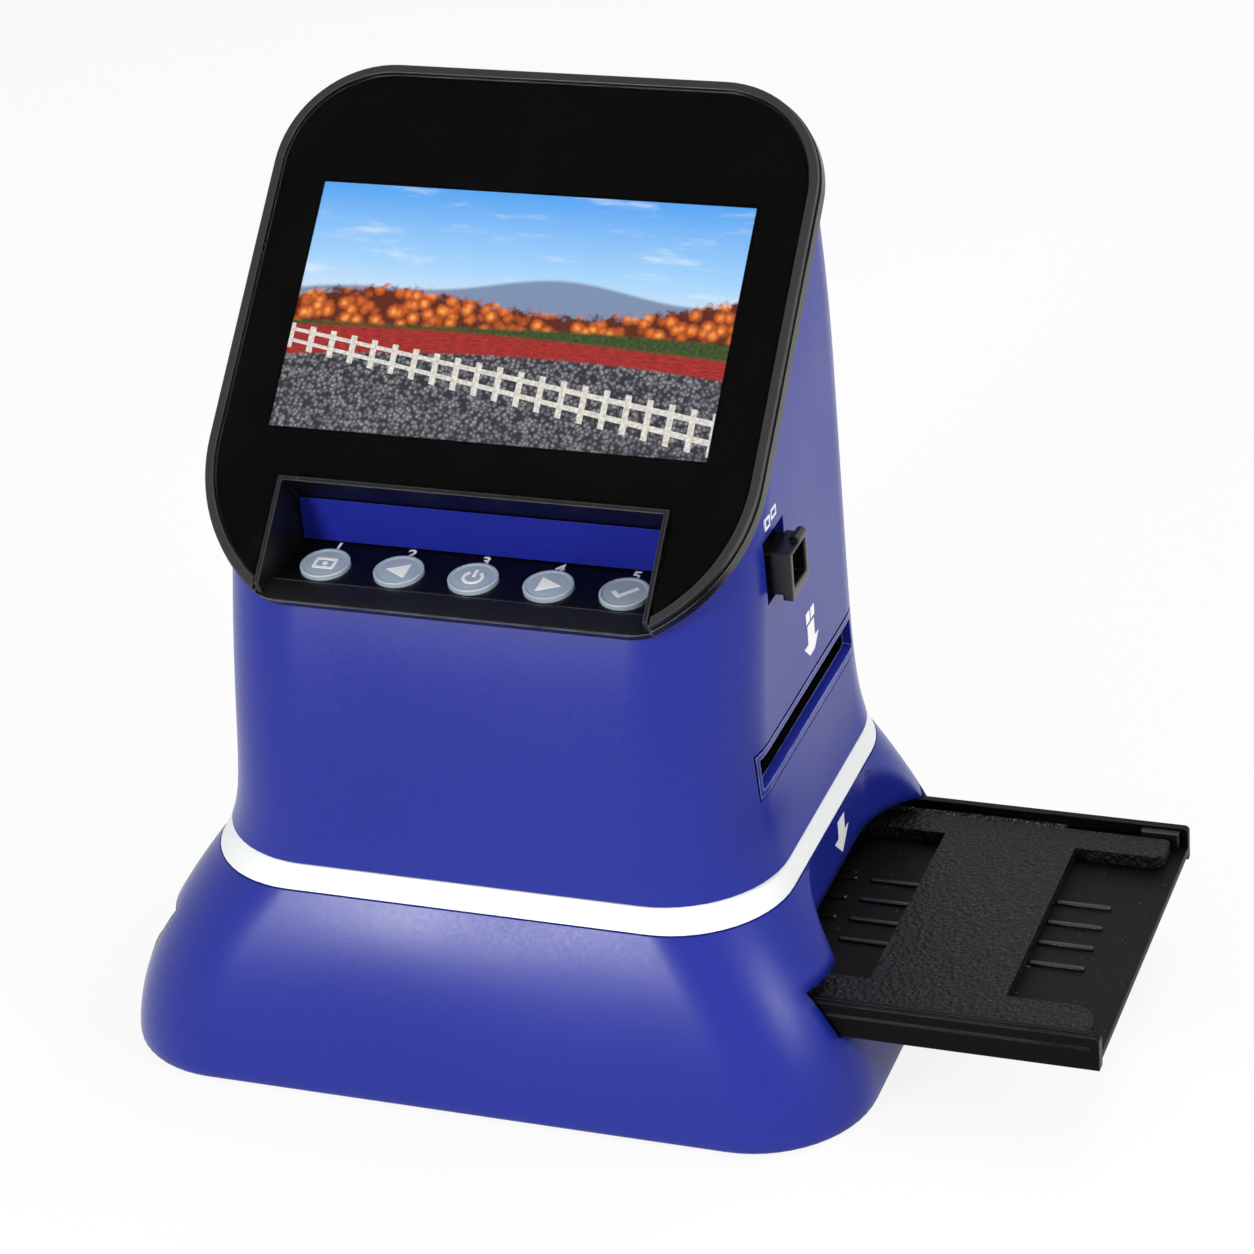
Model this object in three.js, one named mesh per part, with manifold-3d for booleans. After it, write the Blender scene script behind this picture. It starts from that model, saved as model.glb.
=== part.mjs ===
// Desktop film scanner: a tower with a tilted screen on a flared base, a film slot through the
// tower and a sliding tray through the base. Millimetres. X runs to the right, Y to the back,
// Z up, and the origin lies on the floor under the middle of the tower.
import * as THREE from 'three';
import { mergeVertices } from 'three/addons/utils/BufferGeometryUtils.js';
import Module from 'manifold-3d';

const wasm = await Module();
wasm.setup();

// Clearances and cutting
const seam = 0.3; // gap between parts that touch
const overrun = 40; // how far a cutting tool runs past what it cuts
const bite = 0.4; // how far a joined boss or rib sinks into its wall
const weld = 0.001; // vertices closer than this are one
const cornerSteps = 6; // facets on a quarter round of the casing
const roundSides = 24; // facets on a round piece

// Casing plan, shared by base, stripe and tower
const wall = 2.4;
const caseBack = 59.8; // flat rear wall, measured from the tower axis

// Base skirt
const footProud = 0.8; // rubber feet lift the skirt off the floor
const stripeBottom = 49.8; // height at which the white stripe starts
const skirtTopHalfWidth = 74.2;
const skirtTopFront = 61.3;
const skirtTopRadius = 28;
const skirtFootHalfWidth = 96.6;
const skirtFootFront = 76.3;
const skirtFootBack = 60.8;
const skirtFootFrontRadius = 29;
const skirtFootBackRadius = 31;
const shoulderPowerShare = 1.8; // how late the shoulder turns down: 1 would be a straight slope
const skirtEdgeRound = 1.2;
const skirtLevels = 9;
const bossRadius = 4.6;
const bossTop = 17.5;

// White stripe ring
const stripeHeight = 5.1;
const stripeTopHalfWidth = 71.6;
const stripeTopFront = 57.5;
const stripeTopRadius = 28.4;

// Tower shell
const towerTopHalfWidth = 66.9;
const towerTaper = 1; // half width lost from the foot of the tower to its top
const towerSideRoll = 3.2; // further half width lost at the top, where the side walls roll inwards
const towerSideRollReach = 62;
const towerFlare = 4.3; // half width gained where the tower flares out onto the stripe
const towerFlareReach = 9;
const towerLean = 14.2; // how far the front wall leans back over towerLeanHeight
const towerLeanHeight = 74;
const towerLeanPowerShare = 1.78;
const towerFrontRadius = 28;
const towerFrontSharpening = 2; // front corners lose this much radius over towerLeanHeight
const towerBackRadius = 23.5;
const towerTop = 212.5;
const towerTopRound = 8;
const towerLevels = 13;

// Head: its own frame has u across, v up the screen and n out of the glass
const headCentreY = 1.7;
const headCentreZ = 177.5;
const headTiltDegrees = 43.1; // screen plane above the horizontal
const bezelHalfWidth = 69.45;
const bezelTop = 63.5;
const bezelTopRadius = 27.5;
const bezelSideRadius = 44; // long curve from the sides into the lower corners
const bezelSideCentre = 36.5; // its centre below the screen centre
const bezelSideTurnDegrees = 56;
const bezelToeRadius = 12; // tighter curve onto the lower edge
const rimWidth = 2.2; // visible frame around the glass
const rimDepth = 2;
const frameDepth = 3.6; // with the inner body that sits in the collar
const frameStep = 2.5; // inner body set in from the outline
const glassThickness = 1.1;
const glassSunk = 0.05; // glass lies a hair below the rim
const collarProud = 0.4; // rear collar stands out past the frame
const collarDepth = 3.2;
const collarFrame = 9.45; // side bars of the collar, from the bezel's edge to its window
const collarWindowHalfWidth = bezelHalfWidth - collarFrame;
const collarWindowTop = 54;
const collarWindowBottom = 40;

// Display, a 5 inch 16:9 panel
const lcdInset = 11.45; // bezel's edge to the side of the panel
const lcdHalfWidth = bezelHalfWidth - lcdInset;
const lcdHalfHeight = 35;
const lcdThickness = 3.7;
const lcdSunk = 2; // face of the panel below the rim

// Button recess in the head
const recessInset = 21.35; // bezel's edge to the inside of the cheek
const recessHalfWidth = bezelHalfWidth - recessInset;
const recessTop = 45.9; // below the screen centre, along the glass
const recessFoot = 72.2; // lower end of the cheeks
const tubWall = 1.2;
const tubProud = 0.3; // lip that stands proud of the glass
const ceilingDepth = 10.1;
const lipOuterDrop = 74.8; // front edge of the lip, along the glass
const lipInnerY = -42;
const lipInnerZ = 125.1;
const lipThickness = 1.8;
const cheekBackY = -23.2;
const recessBackY = -24.9;
const recessBackThickness = 1.4;

// Button deck, tilted to the user
const deckY = -34.9;
const deckZ = 125.7;
const deckTiltDegrees = 5.5;
const deckFront = 6.8; // from the row of buttons to the front edge
const deckBack = 10.6;
const deckThickness = 1.4;
const deckPostRadius = 2.2;
const deckPostFront = -4.4;
const deckPostBack = 8;

// Push buttons
const buttonCount = 5;
const buttonEndRoom = 10.1; // middle of the last button to the cheek
const buttonPitch = (recessHalfWidth - buttonEndRoom) * 2 / (buttonCount - 1);
const buttonRadius = 6.1;
const buttonProud = 1.2;
const buttonEdge = 0.5;
const deckPostPitchShare = 1.5; // posts stand between the outer buttons
const deckPostX = buttonPitch * deckPostPitchShare;
const buttonFlangeWide = 0.9;
const buttonFlangeThick = 0.8;
const buttonStemRadius = 3;
const buttonStemLength = 1.4;
const buttonTravel = 0.8;

// Button circuit board with its switches
const switchGapSpare = 0.1; // left between cap and switch at full travel
const switchGap = buttonTravel + switchGapSpare;
const switchHeight = 1.6;
const switchHalfWidth = 3;
const boardThickness = 1.6;
const buttonBoardInset = 4.1;
const buttonBoardHalfWidth = recessHalfWidth - buttonBoardInset;
const buttonBoardFront = 5.5;
const buttonBoardBack = 9.8;

// Film slot through the tower
const slotBottom = 75.8;
const slotHeight = 7.6;
const slotFrontY = -32.8;
const slotBackY = 39.5;
const slotBorder = 1.8;
const slotBorderProud = 0.5;
const gateWall = 1.8;
const gateSlack = 0.5;
const gateWindowHalfWidth = 28;
const gateWindowInset = 3;
const ledgeThickness = 2;
const ledgeReach = 3;
const ledgeHalfLength = 22;

// Lens selector on the right wall and the lens it moves
const selectorY = -11.35;
const selectorZ = 125.3;
const knobHalfWidth = 6.25;
const knobHalfHeight = 5.3;
const knobProud = 6.2; // face of the knob out from the tower wall
const knobFaceX = towerTopHalfWidth + knobProud;
const knobFlange = 1.4;
const knobFlangeDepth = 2.4;
const knobRim = 1.3;
const knobWell = 3.6;
const knobNeckSlack = 0.4;
const knobSlotAbove = 3.8; // wall opening past the body of the knob on each side
const knobSlotBelow = 2.2;
const knobSlotFront = 1.9;
const knobSlotBehind = 0.3;
const shieldThickness = 1.2;
const shieldLap = 3.6; // shield past the opening, more than the travel
const shieldLapFront = 1.6;
const shieldSlack = 0.6;
const carriageHalfWidth = 20;
const carriageFront = -12;
const carriageBack = 22;
const carriageBottom = 120.5;
const carriageHeight = 6;
const armHalfWidth = 4;
const armDrop = 1.2;
const barrelRadius = 8.7;
const barrelWall = 2.7;
const barrelBottom = 116;
const barrelHeight = 15;
const lensRise = 7;
const lensThickness = 2.6;
const guideRodRadius = 1.5;
const guideRodX = 14;
const guideRodY = 18;

// Bracket that carries the camera
const bracketHalfWidth = 22;
const bracketPlate = 2.3;
const bracketBottom = 107;
const bracketTop = 143;
const bracketFront = -17;
const bracketLensHole = 8;
const bracketLightHole = 12;
const sensorBoardHalf = 14;
const sensorHalf = 4;
const sensorHeight = 1.2;
const lampRingOuter = 20;

// Main circuit board and the sockets at the rear
const mainBoardHalfWidth = 48;
const mainBoardBottom = 60;
const mainBoardTop = 104;
const mainBoardY = 49;
const mainPostRadius = 2.5;
const mainPostInset = 5;
const socketWall = 0.7;
const socketSunk = 0.4; // socket mouths lie this far inside the rear wall
const socketZ = 66;
const usbX = -24;
const usbHalfWidth = 5.6;
const usbHeight = 4.6;
const hdmiX = 2;
const hdmiHalfWidth = 7;
const hdmiHeight = 5.2;
const cardX = 26;
const cardHalfWidth = 12.6;
const cardHeight = 3.8;
const sockets = [
  { name: 'usb_socket', x: usbX, z: socketZ, halfWidth: usbHalfWidth, height: usbHeight },
  { name: 'hdmi_socket', x: hdmiX, z: socketZ, halfWidth: hdmiHalfWidth, height: hdmiHeight },
  { name: 'card_socket', x: cardX, z: socketZ, halfWidth: cardHalfWidth, height: cardHeight },
];

// Side pockets in the skirt and the tray slot below them
const pocketFace = 74; // flat inner face of the pocket
const pocketStraight = 17; // half length of that flat
const pocketRadius = 27; // curved cheeks that run out to the skirt
const traySlotHeight = 12.2;
const traySlotUnder = 0.4;
const traySlotEnd = 0.8;

// Sliding tray
const trayFrontY = -52.6;
const trayWidth = 96.2;
const trayBottom = 21.9;
const trayHeight = 9;
const trayRightEnd = 152.6;
const trayLength = 150;
const trayFrontWall = 3;
const trayBackWall = 1.8;
const trayFloorLift = 1.5; // floor above the lower edge of the walls
const trayFloorThickness = 2.4;
const trayRibLength = 14;
const trayRibWidth = 1.2;
const trayRibHeight = 0.6;
const trayRibPitch = 9.1;
const trayRibs = 4;

// Film plate in the tray: two rails joined by two cross bands
const plateThickness = 3.4;
const plateEnd = 3.6; // tray end to plate end
const plateFrontRail = 11.3;
const plateBackRail = 8.7;
const plateGroove = 3.8; // gap between the plate and the back wall of the tray
const plateBandWidth = 33.5;
const plateBandFromEnd = 22.3; // plate end to the near edge of the cross band
const plateEndRadius = 4;

// Tray rails inside the base
const railHalfLength = 74;
const railShelf = 2.3;
const railShelfReach = 6;
const railShelfOut = 2;
const railWallThickness = 2;
const railWallRise = 2; // rail wall above the tray
const railLegHalfWidth = 5;
const railLegX = 60;

// Bottom cover, feet and screws
const coverLift = 0.3; // cover above the lower edge of the skirt
const coverThickness = 2.4;
const footRadius = 7;
const footSunk = 0.6;
const footX = 66;
const footFrontY = -48;
const footBackY = 34;
const screwRadius = 1.3;
const screwHeadRadius = 3;
const screwHeadHeight = 1.1;
const screwLength = 9;

// Light box in the base
const lightHalfWidth = 34;
const lightHalfLength = 37.5;
const lightHeight = 13.2;
const lightWall = 1.6;
const diffuserThickness = 2;

// Derived places
const stripeTop = stripeBottom + stripeHeight;
const skirtBottom = footProud;
const skirtTop = stripeBottom - seam;
const towerBottom = stripeTop + seam;
const headTilt = THREE.MathUtils.degToRad(headTiltDegrees);
const deckTilt = THREE.MathUtils.degToRad(deckTiltDegrees);
const collarFace = -(rimDepth + seam);
const headBack = collarFace - collarDepth;
const trayTop = trayBottom + trayHeight;
const trayBackY = trayFrontY + trayWidth;
const trayMidY = (trayFrontY + trayBackY) / 2;
const trayFloorTop = trayBottom + trayFloorLift + trayFloorThickness;
const trayLeftEnd = trayRightEnd - trayLength;
const traySlotBottom = trayBottom - traySlotUnder;
const traySlotTop = traySlotBottom + traySlotHeight;
const coverBottom = skirtBottom + coverLift;
const coverTop = coverBottom + coverThickness;
const caseInside = caseBack - wall;
const slotTop = slotBottom + slotHeight;

// Finishes
const finishes = {
  blue_plastic: { color: 0x2a3296, roughness: 0.36, metalness: 0 },
  white_plastic: { color: 0xe6e8e6, roughness: 0.4, metalness: 0 },
  black_plastic: { color: 0x1b1c1e, roughness: 0.45, metalness: 0 },
  dark_gloss: { color: 0x0a0a14, roughness: 0.16, metalness: 0 },
  black_glass: { color: 0x050506, roughness: 0.06, metalness: 0 },
  button_silver: { color: 0xb9c4cf, roughness: 0.3, metalness: 0.1 },
  black_texture: { color: 0x202123, roughness: 0.85, metalness: 0 },
  rubber: { color: 0x141414, roughness: 0.9, metalness: 0 },
  steel: { color: 0xa8abad, roughness: 0.3, metalness: 1 },
  circuit_green: { color: 0x1c5a34, roughness: 0.5, metalness: 0 },
  clear_lens: { color: 0xc8d4dc, roughness: 0.05, metalness: 0 },
};
const materials = Object.fromEntries(Object.entries(finishes).map(([name, values]) => [
  name, new THREE.MeshStandardMaterial({ name, ...values }),
]));

// Turns a closed three.js geometry into a solid that can be cut and joined
function solid(geometry) {
  const bare = geometry.clone();
  bare.deleteAttribute('normal');
  bare.deleteAttribute('uv');
  const merged = mergeVertices(bare, weld);
  return new wasm.Manifold(new wasm.Mesh({
    numProp: 3,
    vertProperties: new Float32Array(merged.attributes.position.array),
    triVerts: new Uint32Array(merged.index.array),
  }));
}

// Turns a solid back into geometry
function geometryOf(body) {
  const mesh = body.getMesh();
  const geometry = new THREE.BufferGeometry();
  geometry.setAttribute('position', new THREE.BufferAttribute(new Float32Array(mesh.vertProperties), 3));
  geometry.setIndex(new THREE.BufferAttribute(new Uint32Array(mesh.triVerts), 1));
  geometry.computeVertexNormals();
  return geometry;
}

const add = (first, ...rest) => rest.reduce((body, next) => body.add(next), first);
const cut = (first, ...rest) => rest.reduce((body, next) => body.subtract(next), first);

// A box between two limits on each axis
function block([x0, x1], [y0, y1], [z0, z1]) {
  const geometry = new THREE.BoxGeometry(x1 - x0, y1 - y0, z1 - z0);
  geometry.translate((x0 + x1) / 2, (y0 + y1) / 2, (z0 + z1) / 2);
  return solid(geometry);
}

// An upright prism over a plan outline
function prism(points, [z0, z1]) {
  const geometry = new THREE.ExtrudeGeometry(new THREE.Shape(points), { depth: z1 - z0, bevelEnabled: false });
  geometry.translate(0, 0, z0);
  return solid(geometry);
}

// A prism along X over an outline given in the YZ plane
function crossPrism(points, [x0, x1]) {
  const geometry = new THREE.ExtrudeGeometry(new THREE.Shape(points), { depth: x1 - x0, bevelEnabled: false });
  geometry.applyMatrix4(new THREE.Matrix4().makeBasis(
    new THREE.Vector3(0, 1, 0), new THREE.Vector3(0, 0, 1), new THREE.Vector3(1, 0, 0),
  ));
  geometry.translate(x0, 0, 0);
  return solid(geometry);
}

// An upright round bar
function rod(radius, [x, y], [z0, z1]) {
  const geometry = new THREE.CylinderGeometry(radius, radius, z1 - z0, roundSides);
  geometry.rotateX(Math.PI / 2);
  geometry.translate(x, y, (z0 + z1) / 2);
  return solid(geometry);
}

// A round bar along Y
function rodAlongY(radius, [x, z], [y0, y1]) {
  const geometry = new THREE.CylinderGeometry(radius, radius, y1 - y0, roundSides);
  geometry.translate(x, (y0 + y1) / 2, z);
  return solid(geometry);
}

// A plan outline with round corners, counter-clockwise, with its own front and back depth
function roundedOutline({ halfWidth, front, back, frontRadius, backRadius }) {
  const corners = [
    [1, 1, backRadius, 0], [-1, 1, backRadius, 1], [-1, -1, frontRadius, 2], [1, -1, frontRadius, 3],
  ];
  return corners.flatMap(([sideX, sideY, radius, quarter]) => {
    const centreX = sideX * (halfWidth - radius);
    const centreY = sideY > 0 ? back - radius : radius - front;
    return Array.from({ length: cornerSteps + 1 }, (_, step) => {
      const angle = (quarter + step / cornerSteps) * Math.PI / 2;
      return new THREE.Vector2(centreX + radius * Math.cos(angle), centreY + radius * Math.sin(angle));
    });
  });
}

// The same outline drawn in by a distance
function drawnIn(plan, inset) {
  return Object.fromEntries(Object.entries(plan).map(([key, value]) => [key, value - inset]));
}

// Joins level rings of equal point counts into one skin, closed by caps or by joining the
// last ring back to the first
function ringBody(rings, capped) {
  const count = rings[0].length;
  const positions = rings.flat().flatMap((point) => point.toArray());
  const triangles = [];
  const last = capped ? rings.length - 1 : rings.length;
  for (let level = 0; level < last; level += 1) {
    const low = level * count;
    const high = ((level + 1) % rings.length) * count;
    for (let step = 0; step < count; step += 1) {
      const next = (step + 1) % count;
      triangles.push(low + step, low + next, high + next, low + step, high + next, high + step);
    }
  }
  if (capped) {
    const top = (rings.length - 1) * count;
    for (let step = 1; step < count - 1; step += 1) {
      triangles.push(0, step + 1, step, top, top + step, top + step + 1);
    }
  }
  const geometry = new THREE.BufferGeometry();
  geometry.setAttribute('position', new THREE.BufferAttribute(new Float32Array(positions), 3));
  geometry.setIndex(triangles);
  return solid(geometry);
}

const ringAt = (plan, z) => roundedOutline(plan).map((point) => new THREE.Vector3(point.x, point.y, z));

// Plan of the skirt at a height: it spreads from the stripe down to the foot
function skirtPlan(z) {
  const spread = 1 - (z / stripeBottom) ** shoulderPowerShare;
  const mix = (top, foot) => top + (foot - top) * spread;
  return {
    halfWidth: mix(skirtTopHalfWidth, skirtFootHalfWidth),
    front: mix(skirtTopFront, skirtFootFront),
    back: mix(caseBack, skirtFootBack),
    frontRadius: mix(skirtTopRadius, skirtFootFrontRadius),
    backRadius: mix(skirtTopRadius, skirtFootBackRadius),
  };
}

// Outer rings of the skirt, rounded under its lower edge
function skirtRings() {
  const rounding = [0, 1 / 3, 2 / 3, 1].map((share) => {
    const angle = share * Math.PI / 2;
    const z = skirtBottom + skirtEdgeRound * (1 - Math.cos(angle));
    return ringAt(drawnIn(skirtPlan(z), skirtEdgeRound * (1 - Math.sin(angle))), z);
  });
  const start = skirtBottom + skirtEdgeRound;
  const rise = Array.from({ length: skirtLevels }, (_, index) => {
    const z = start + (skirtTop - start) * (index + 1) / skirtLevels;
    return ringAt(skirtPlan(z), z);
  });
  return [...rounding, ...rise];
}

// Plan of the tower at a height: it flares onto the stripe and its front leans back
function towerPlan(z) {
  const rise = z - stripeTop;
  const lean = towerLean * (rise / towerLeanHeight) ** towerLeanPowerShare;
  const roundStart = towerTop - towerTopRound;
  const over = Math.max(0, z - roundStart);
  const topOff = towerTopRound - Math.sqrt(Math.max(0, towerTopRound ** 2 - over ** 2));
  const back = caseBack - topOff;
  const rolled = Math.max(0, 1 - (towerTop - z) / towerSideRollReach);
  return {
    halfWidth: towerTopHalfWidth + towerFlare * Math.exp(-rise / towerFlareReach)
      + towerTaper * (1 - rise / (towerTop - stripeTop)) - towerSideRoll * rolled ** 2 - topOff,
    front: Math.max(stripeTopFront - lean, towerFrontRadius + towerBackRadius - back),
    back,
    frontRadius: towerFrontRadius - towerFrontSharpening * Math.min(1, rise / towerLeanHeight),
    backRadius: towerBackRadius + (stripeTopRadius - towerBackRadius) * Math.exp(-rise / towerFlareReach),
  };
}

// Heights of the tower rings, close together in the flare and at the round top
function towerHeights() {
  const flareTop = towerBottom + towerFlareReach * 2;
  const roundStart = towerTop - towerTopRound;
  const flare = [0, 0.12, 0.28, 0.55].map((share) => towerBottom + (flareTop - towerBottom) * share);
  const middle = Array.from({ length: towerLevels }, (_, index) => (
    flareTop + (roundStart - flareTop) * index / (towerLevels - 1)
  ));
  const crown = [0.5, 0.8, 0.95].map((share) => roundStart + towerTopRound * share);
  return [...flare, ...middle, ...crown];
}

// A point of the head frame in the scanner's frame
function headPoint(u, v, n) {
  return new THREE.Vector3(
    u,
    headCentreY + v * Math.cos(headTilt) - n * Math.sin(headTilt),
    headCentreZ + v * Math.sin(headTilt) + n * Math.cos(headTilt),
  );
}

const placeHead = new THREE.Matrix4().makeRotationX(headTilt)
  .setPosition(0, headCentreY, headCentreZ);

function placed(body, matrix) {
  return solid(geometryOf(body).applyMatrix4(matrix));
}

// Plan of a side pocket: a flat face with curved cheeks that run out past the skirt
function pocketOutline(depth) {
  const centreX = pocketFace + pocketRadius;
  const radius = pocketRadius + depth;
  const steps = cornerSteps * 2;
  const cheek = (side) => Array.from({ length: steps + 1 }, (_, step) => {
    const angle = Math.PI / 2 * step / steps;
    return new THREE.Vector2(
      centreX - radius * Math.cos(angle), side * (pocketStraight + radius * Math.sin(angle)),
    );
  });
  const far = centreX + overrun;
  const reach = pocketStraight + radius;
  return [
    ...cheek(1).reverse(),
    ...cheek(-1),
    new THREE.Vector2(far, -reach),
    new THREE.Vector2(far, reach),
  ];
}

// The same solid on the left
const mirrored = (body) => body.mirror([1, 0, 0]);
const bothSides = (body) => [body, mirrored(body)];

// Where a corner boss of the skirt stands
function bossPlace(sideX, sideY) {
  const plan = drawnIn(skirtPlan(skirtBottom), wall);
  const radius = sideY > 0 ? plan.backRadius : plan.frontRadius;
  const reach = (radius - bossRadius + bite) * Math.SQRT1_2;
  const edge = sideY > 0 ? plan.back : plan.front;
  return [sideX * (plan.halfWidth - radius + reach), sideY * (edge - radius + reach)];
}

const corners = [[-1, -1], [1, -1], [-1, 1], [1, 1]];

function baseSkirt() {
  const outer = skirtRings();
  const innerHeights = Array.from({ length: skirtLevels + 1 }, (_, index) => (
    skirtTop + (skirtBottom - skirtTop) * index / skirtLevels
  ));
  const inner = innerHeights.map((z) => ringAt(drawnIn(skirtPlan(z), wall), z));
  const full = ringBody(outer, true);
  const pocketWall = prism(pocketOutline(wall), [traySlotTop, skirtTop]).intersect(full);
  const pocket = prism(pocketOutline(0), [traySlotTop, skirtTop + overrun]);
  const slot = block(
    [pocketFace - wall * 2, skirtFootHalfWidth + overrun],
    [trayFrontY - traySlotEnd, trayBackY + traySlotEnd],
    [traySlotBottom, traySlotTop],
  );
  const bosses = corners.map(([sideX, sideY]) => rod(
    bossRadius, bossPlace(sideX, sideY), [coverTop + seam, bossTop],
  ).intersect(full));
  const bores = corners.map(([sideX, sideY]) => rod(
    screwRadius + seam, bossPlace(sideX, sideY), [0, coverTop + screwLength],
  ));
  const shell = add(ringBody([...outer, ...inner], false), ...bothSides(pocketWall), ...bosses);
  return cut(shell, ...bothSides(pocket), ...bothSides(slot), ...bores);
}

function stripeRing() {
  const low = skirtPlan(stripeBottom);
  const high = {
    halfWidth: stripeTopHalfWidth, front: stripeTopFront, back: caseBack,
    frontRadius: stripeTopRadius, backRadius: stripeTopRadius,
  };
  return ringBody([
    ringAt(low, stripeBottom), ringAt(high, stripeTop),
    ringAt(drawnIn(high, wall), stripeTop), ringAt(drawnIn(low, wall), stripeBottom),
  ], false);
}

// The whole tower volume, drawn in by a distance
function towerVolume(inset) {
  return ringBody(towerHeights().map((z) => ringAt(drawnIn(towerPlan(z), inset), z)), true);
}

function towerShell() {
  const outer = towerHeights().map((z) => ringAt(towerPlan(z), z));
  const inner = towerHeights().map((z) => ringAt(drawnIn(towerPlan(z), wall), z)).reverse();
  const border = block(
    [0, skirtFootHalfWidth],
    [slotFrontY - slotBorder, slotBackY + slotBorder],
    [slotBottom - slotBorder, slotTop + slotBorder],
  );
  const raised = towerVolume(-slotBorderProud).intersect(border).subtract(towerVolume(bite));
  const ledge = block(
    [towerTopHalfWidth - wall - ledgeReach, towerTopHalfWidth],
    [-ledgeHalfLength, ledgeHalfLength],
    [slotBottom - gateSlack - gateWall - seam - ledgeThickness, slotBottom - gateSlack - gateWall - seam],
  );
  const posts = [-1, 1].flatMap((side) => [mainBoardBottom + mainPostInset, mainBoardTop - mainPostInset]
    .map((z) => rodAlongY(
      mainPostRadius, [side * (mainBoardHalfWidth - mainPostInset), z],
      [mainBoardY + boardThickness + seam, caseInside + bite],
    )));
  const slot = block(
    [towerTopHalfWidth - wall * 3, skirtFootHalfWidth], [slotFrontY, slotBackY], [slotBottom, slotTop],
  );
  const knobSlot = block(
    [towerTopHalfWidth - wall * 3, skirtFootHalfWidth],
    [selectorY - knobHalfWidth - knobSlotFront, selectorY + knobHalfWidth + knobSlotBehind],
    [selectorZ - knobHalfHeight - knobSlotBelow, selectorZ + knobHalfHeight + knobSlotAbove],
  );
  const ports = sockets.map(({ x, z, halfWidth, height }) => block(
    [x - halfWidth - seam, x + halfWidth + seam], [caseInside - wall, caseBack + overrun],
    [z - height / 2 - seam, z + height / 2 + seam],
  ));
  const frontOfHead = placed(block(
    [-bezelHalfWidth - overrun, bezelHalfWidth + overrun],
    [-bezelHalfWidth - overrun, bezelHalfWidth + overrun],
    [headBack - seam, overrun * 4],
  ), placeHead);
  const deckRoom = crossPrism([
    new THREE.Vector2(cheekBackY + seam, underDeckAt(cheekBackY + seam)),
    new THREE.Vector2(cheekBackY + seam, towerTop),
    new THREE.Vector2(collarFoot.y, towerTop),
    new THREE.Vector2(collarFoot.y, collarFoot.z - seam),
    new THREE.Vector2(lipInnerY, lipInnerZ - lipThickness - seam * 2),
  ], [-recessCutHalfWidth - bite - seam, recessCutHalfWidth + bite + seam]);
  const shell = add(ringBody([...outer, ...inner], false), ...bothSides(raised), ...bothSides(ledge), ...posts);
  return cut(shell, ...bothSides(slot), knobSlot, ...ports, frontOfHead, deckRoom);
}

// Outline of the head in its own frame, drawn in by a distance
function headOutline(inset) {
  const turn = THREE.MathUtils.degToRad(bezelSideTurnDegrees);
  const sideX = bezelHalfWidth - bezelSideRadius;
  const reach = bezelSideRadius - bezelToeRadius;
  const toe = new THREE.Vector2(sideX + reach * Math.cos(turn), -bezelSideCentre - reach * Math.sin(turn));
  const arc = (centreX, centreY, radius, from, to) => Array.from({ length: cornerSteps + 1 }, (_, step) => {
    const angle = from + (to - from) * step / cornerSteps;
    return new THREE.Vector2(
      centreX + (radius - inset) * Math.cos(angle), centreY + (radius - inset) * Math.sin(angle),
    );
  });
  const topX = bezelHalfWidth - bezelTopRadius;
  const rightHalf = [
    ...arc(toe.x, toe.y, bezelToeRadius, -Math.PI / 2, -turn),
    ...arc(sideX, -bezelSideCentre, bezelSideRadius, -turn, 0).slice(1),
    ...arc(topX, bezelTop - bezelTopRadius, bezelTopRadius, 0, Math.PI / 2),
  ];
  const leftHalf = rightHalf.map((point) => new THREE.Vector2(-point.x, point.y)).reverse();
  return [...rightHalf, ...leftHalf];
}

const tubHalfWidth = recessHalfWidth + tubWall;
const recessCutHalfWidth = tubHalfWidth + seam;
const recessCutTop = -(recessTop - tubWall - seam);

// What the recess takes out of glass, frame and collar
function recessCutter() {
  return block(
    [-recessCutHalfWidth, recessCutHalfWidth], [-bezelHalfWidth - overrun, recessCutTop], [-overrun, overrun],
  );
}

function bezelFrame() {
  const rim = prism(headOutline(0), [-rimDepth, 0]);
  const inner = prism(headOutline(frameStep), [-frameDepth, -rimDepth / 2]);
  const glassSeat = prism(headOutline(rimWidth), [-(glassSunk + glassThickness + seam), overrun]);
  const window = block(
    [-lcdHalfWidth - seam, lcdHalfWidth + seam], [-lcdHalfHeight - seam, lcdHalfHeight + seam],
    [-overrun, overrun],
  );
  return cut(add(rim, inner), glassSeat, window, recessCutter());
}

function displayGlass() {
  const pane = prism(headOutline(rimWidth + seam), [-(glassSunk + glassThickness), -glassSunk]);
  return cut(pane, recessCutter());
}

function lcdPanel() {
  return block(
    [-lcdHalfWidth, lcdHalfWidth], [-lcdHalfHeight, lcdHalfHeight], [-lcdSunk - lcdThickness, -lcdSunk],
  );
}

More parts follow.
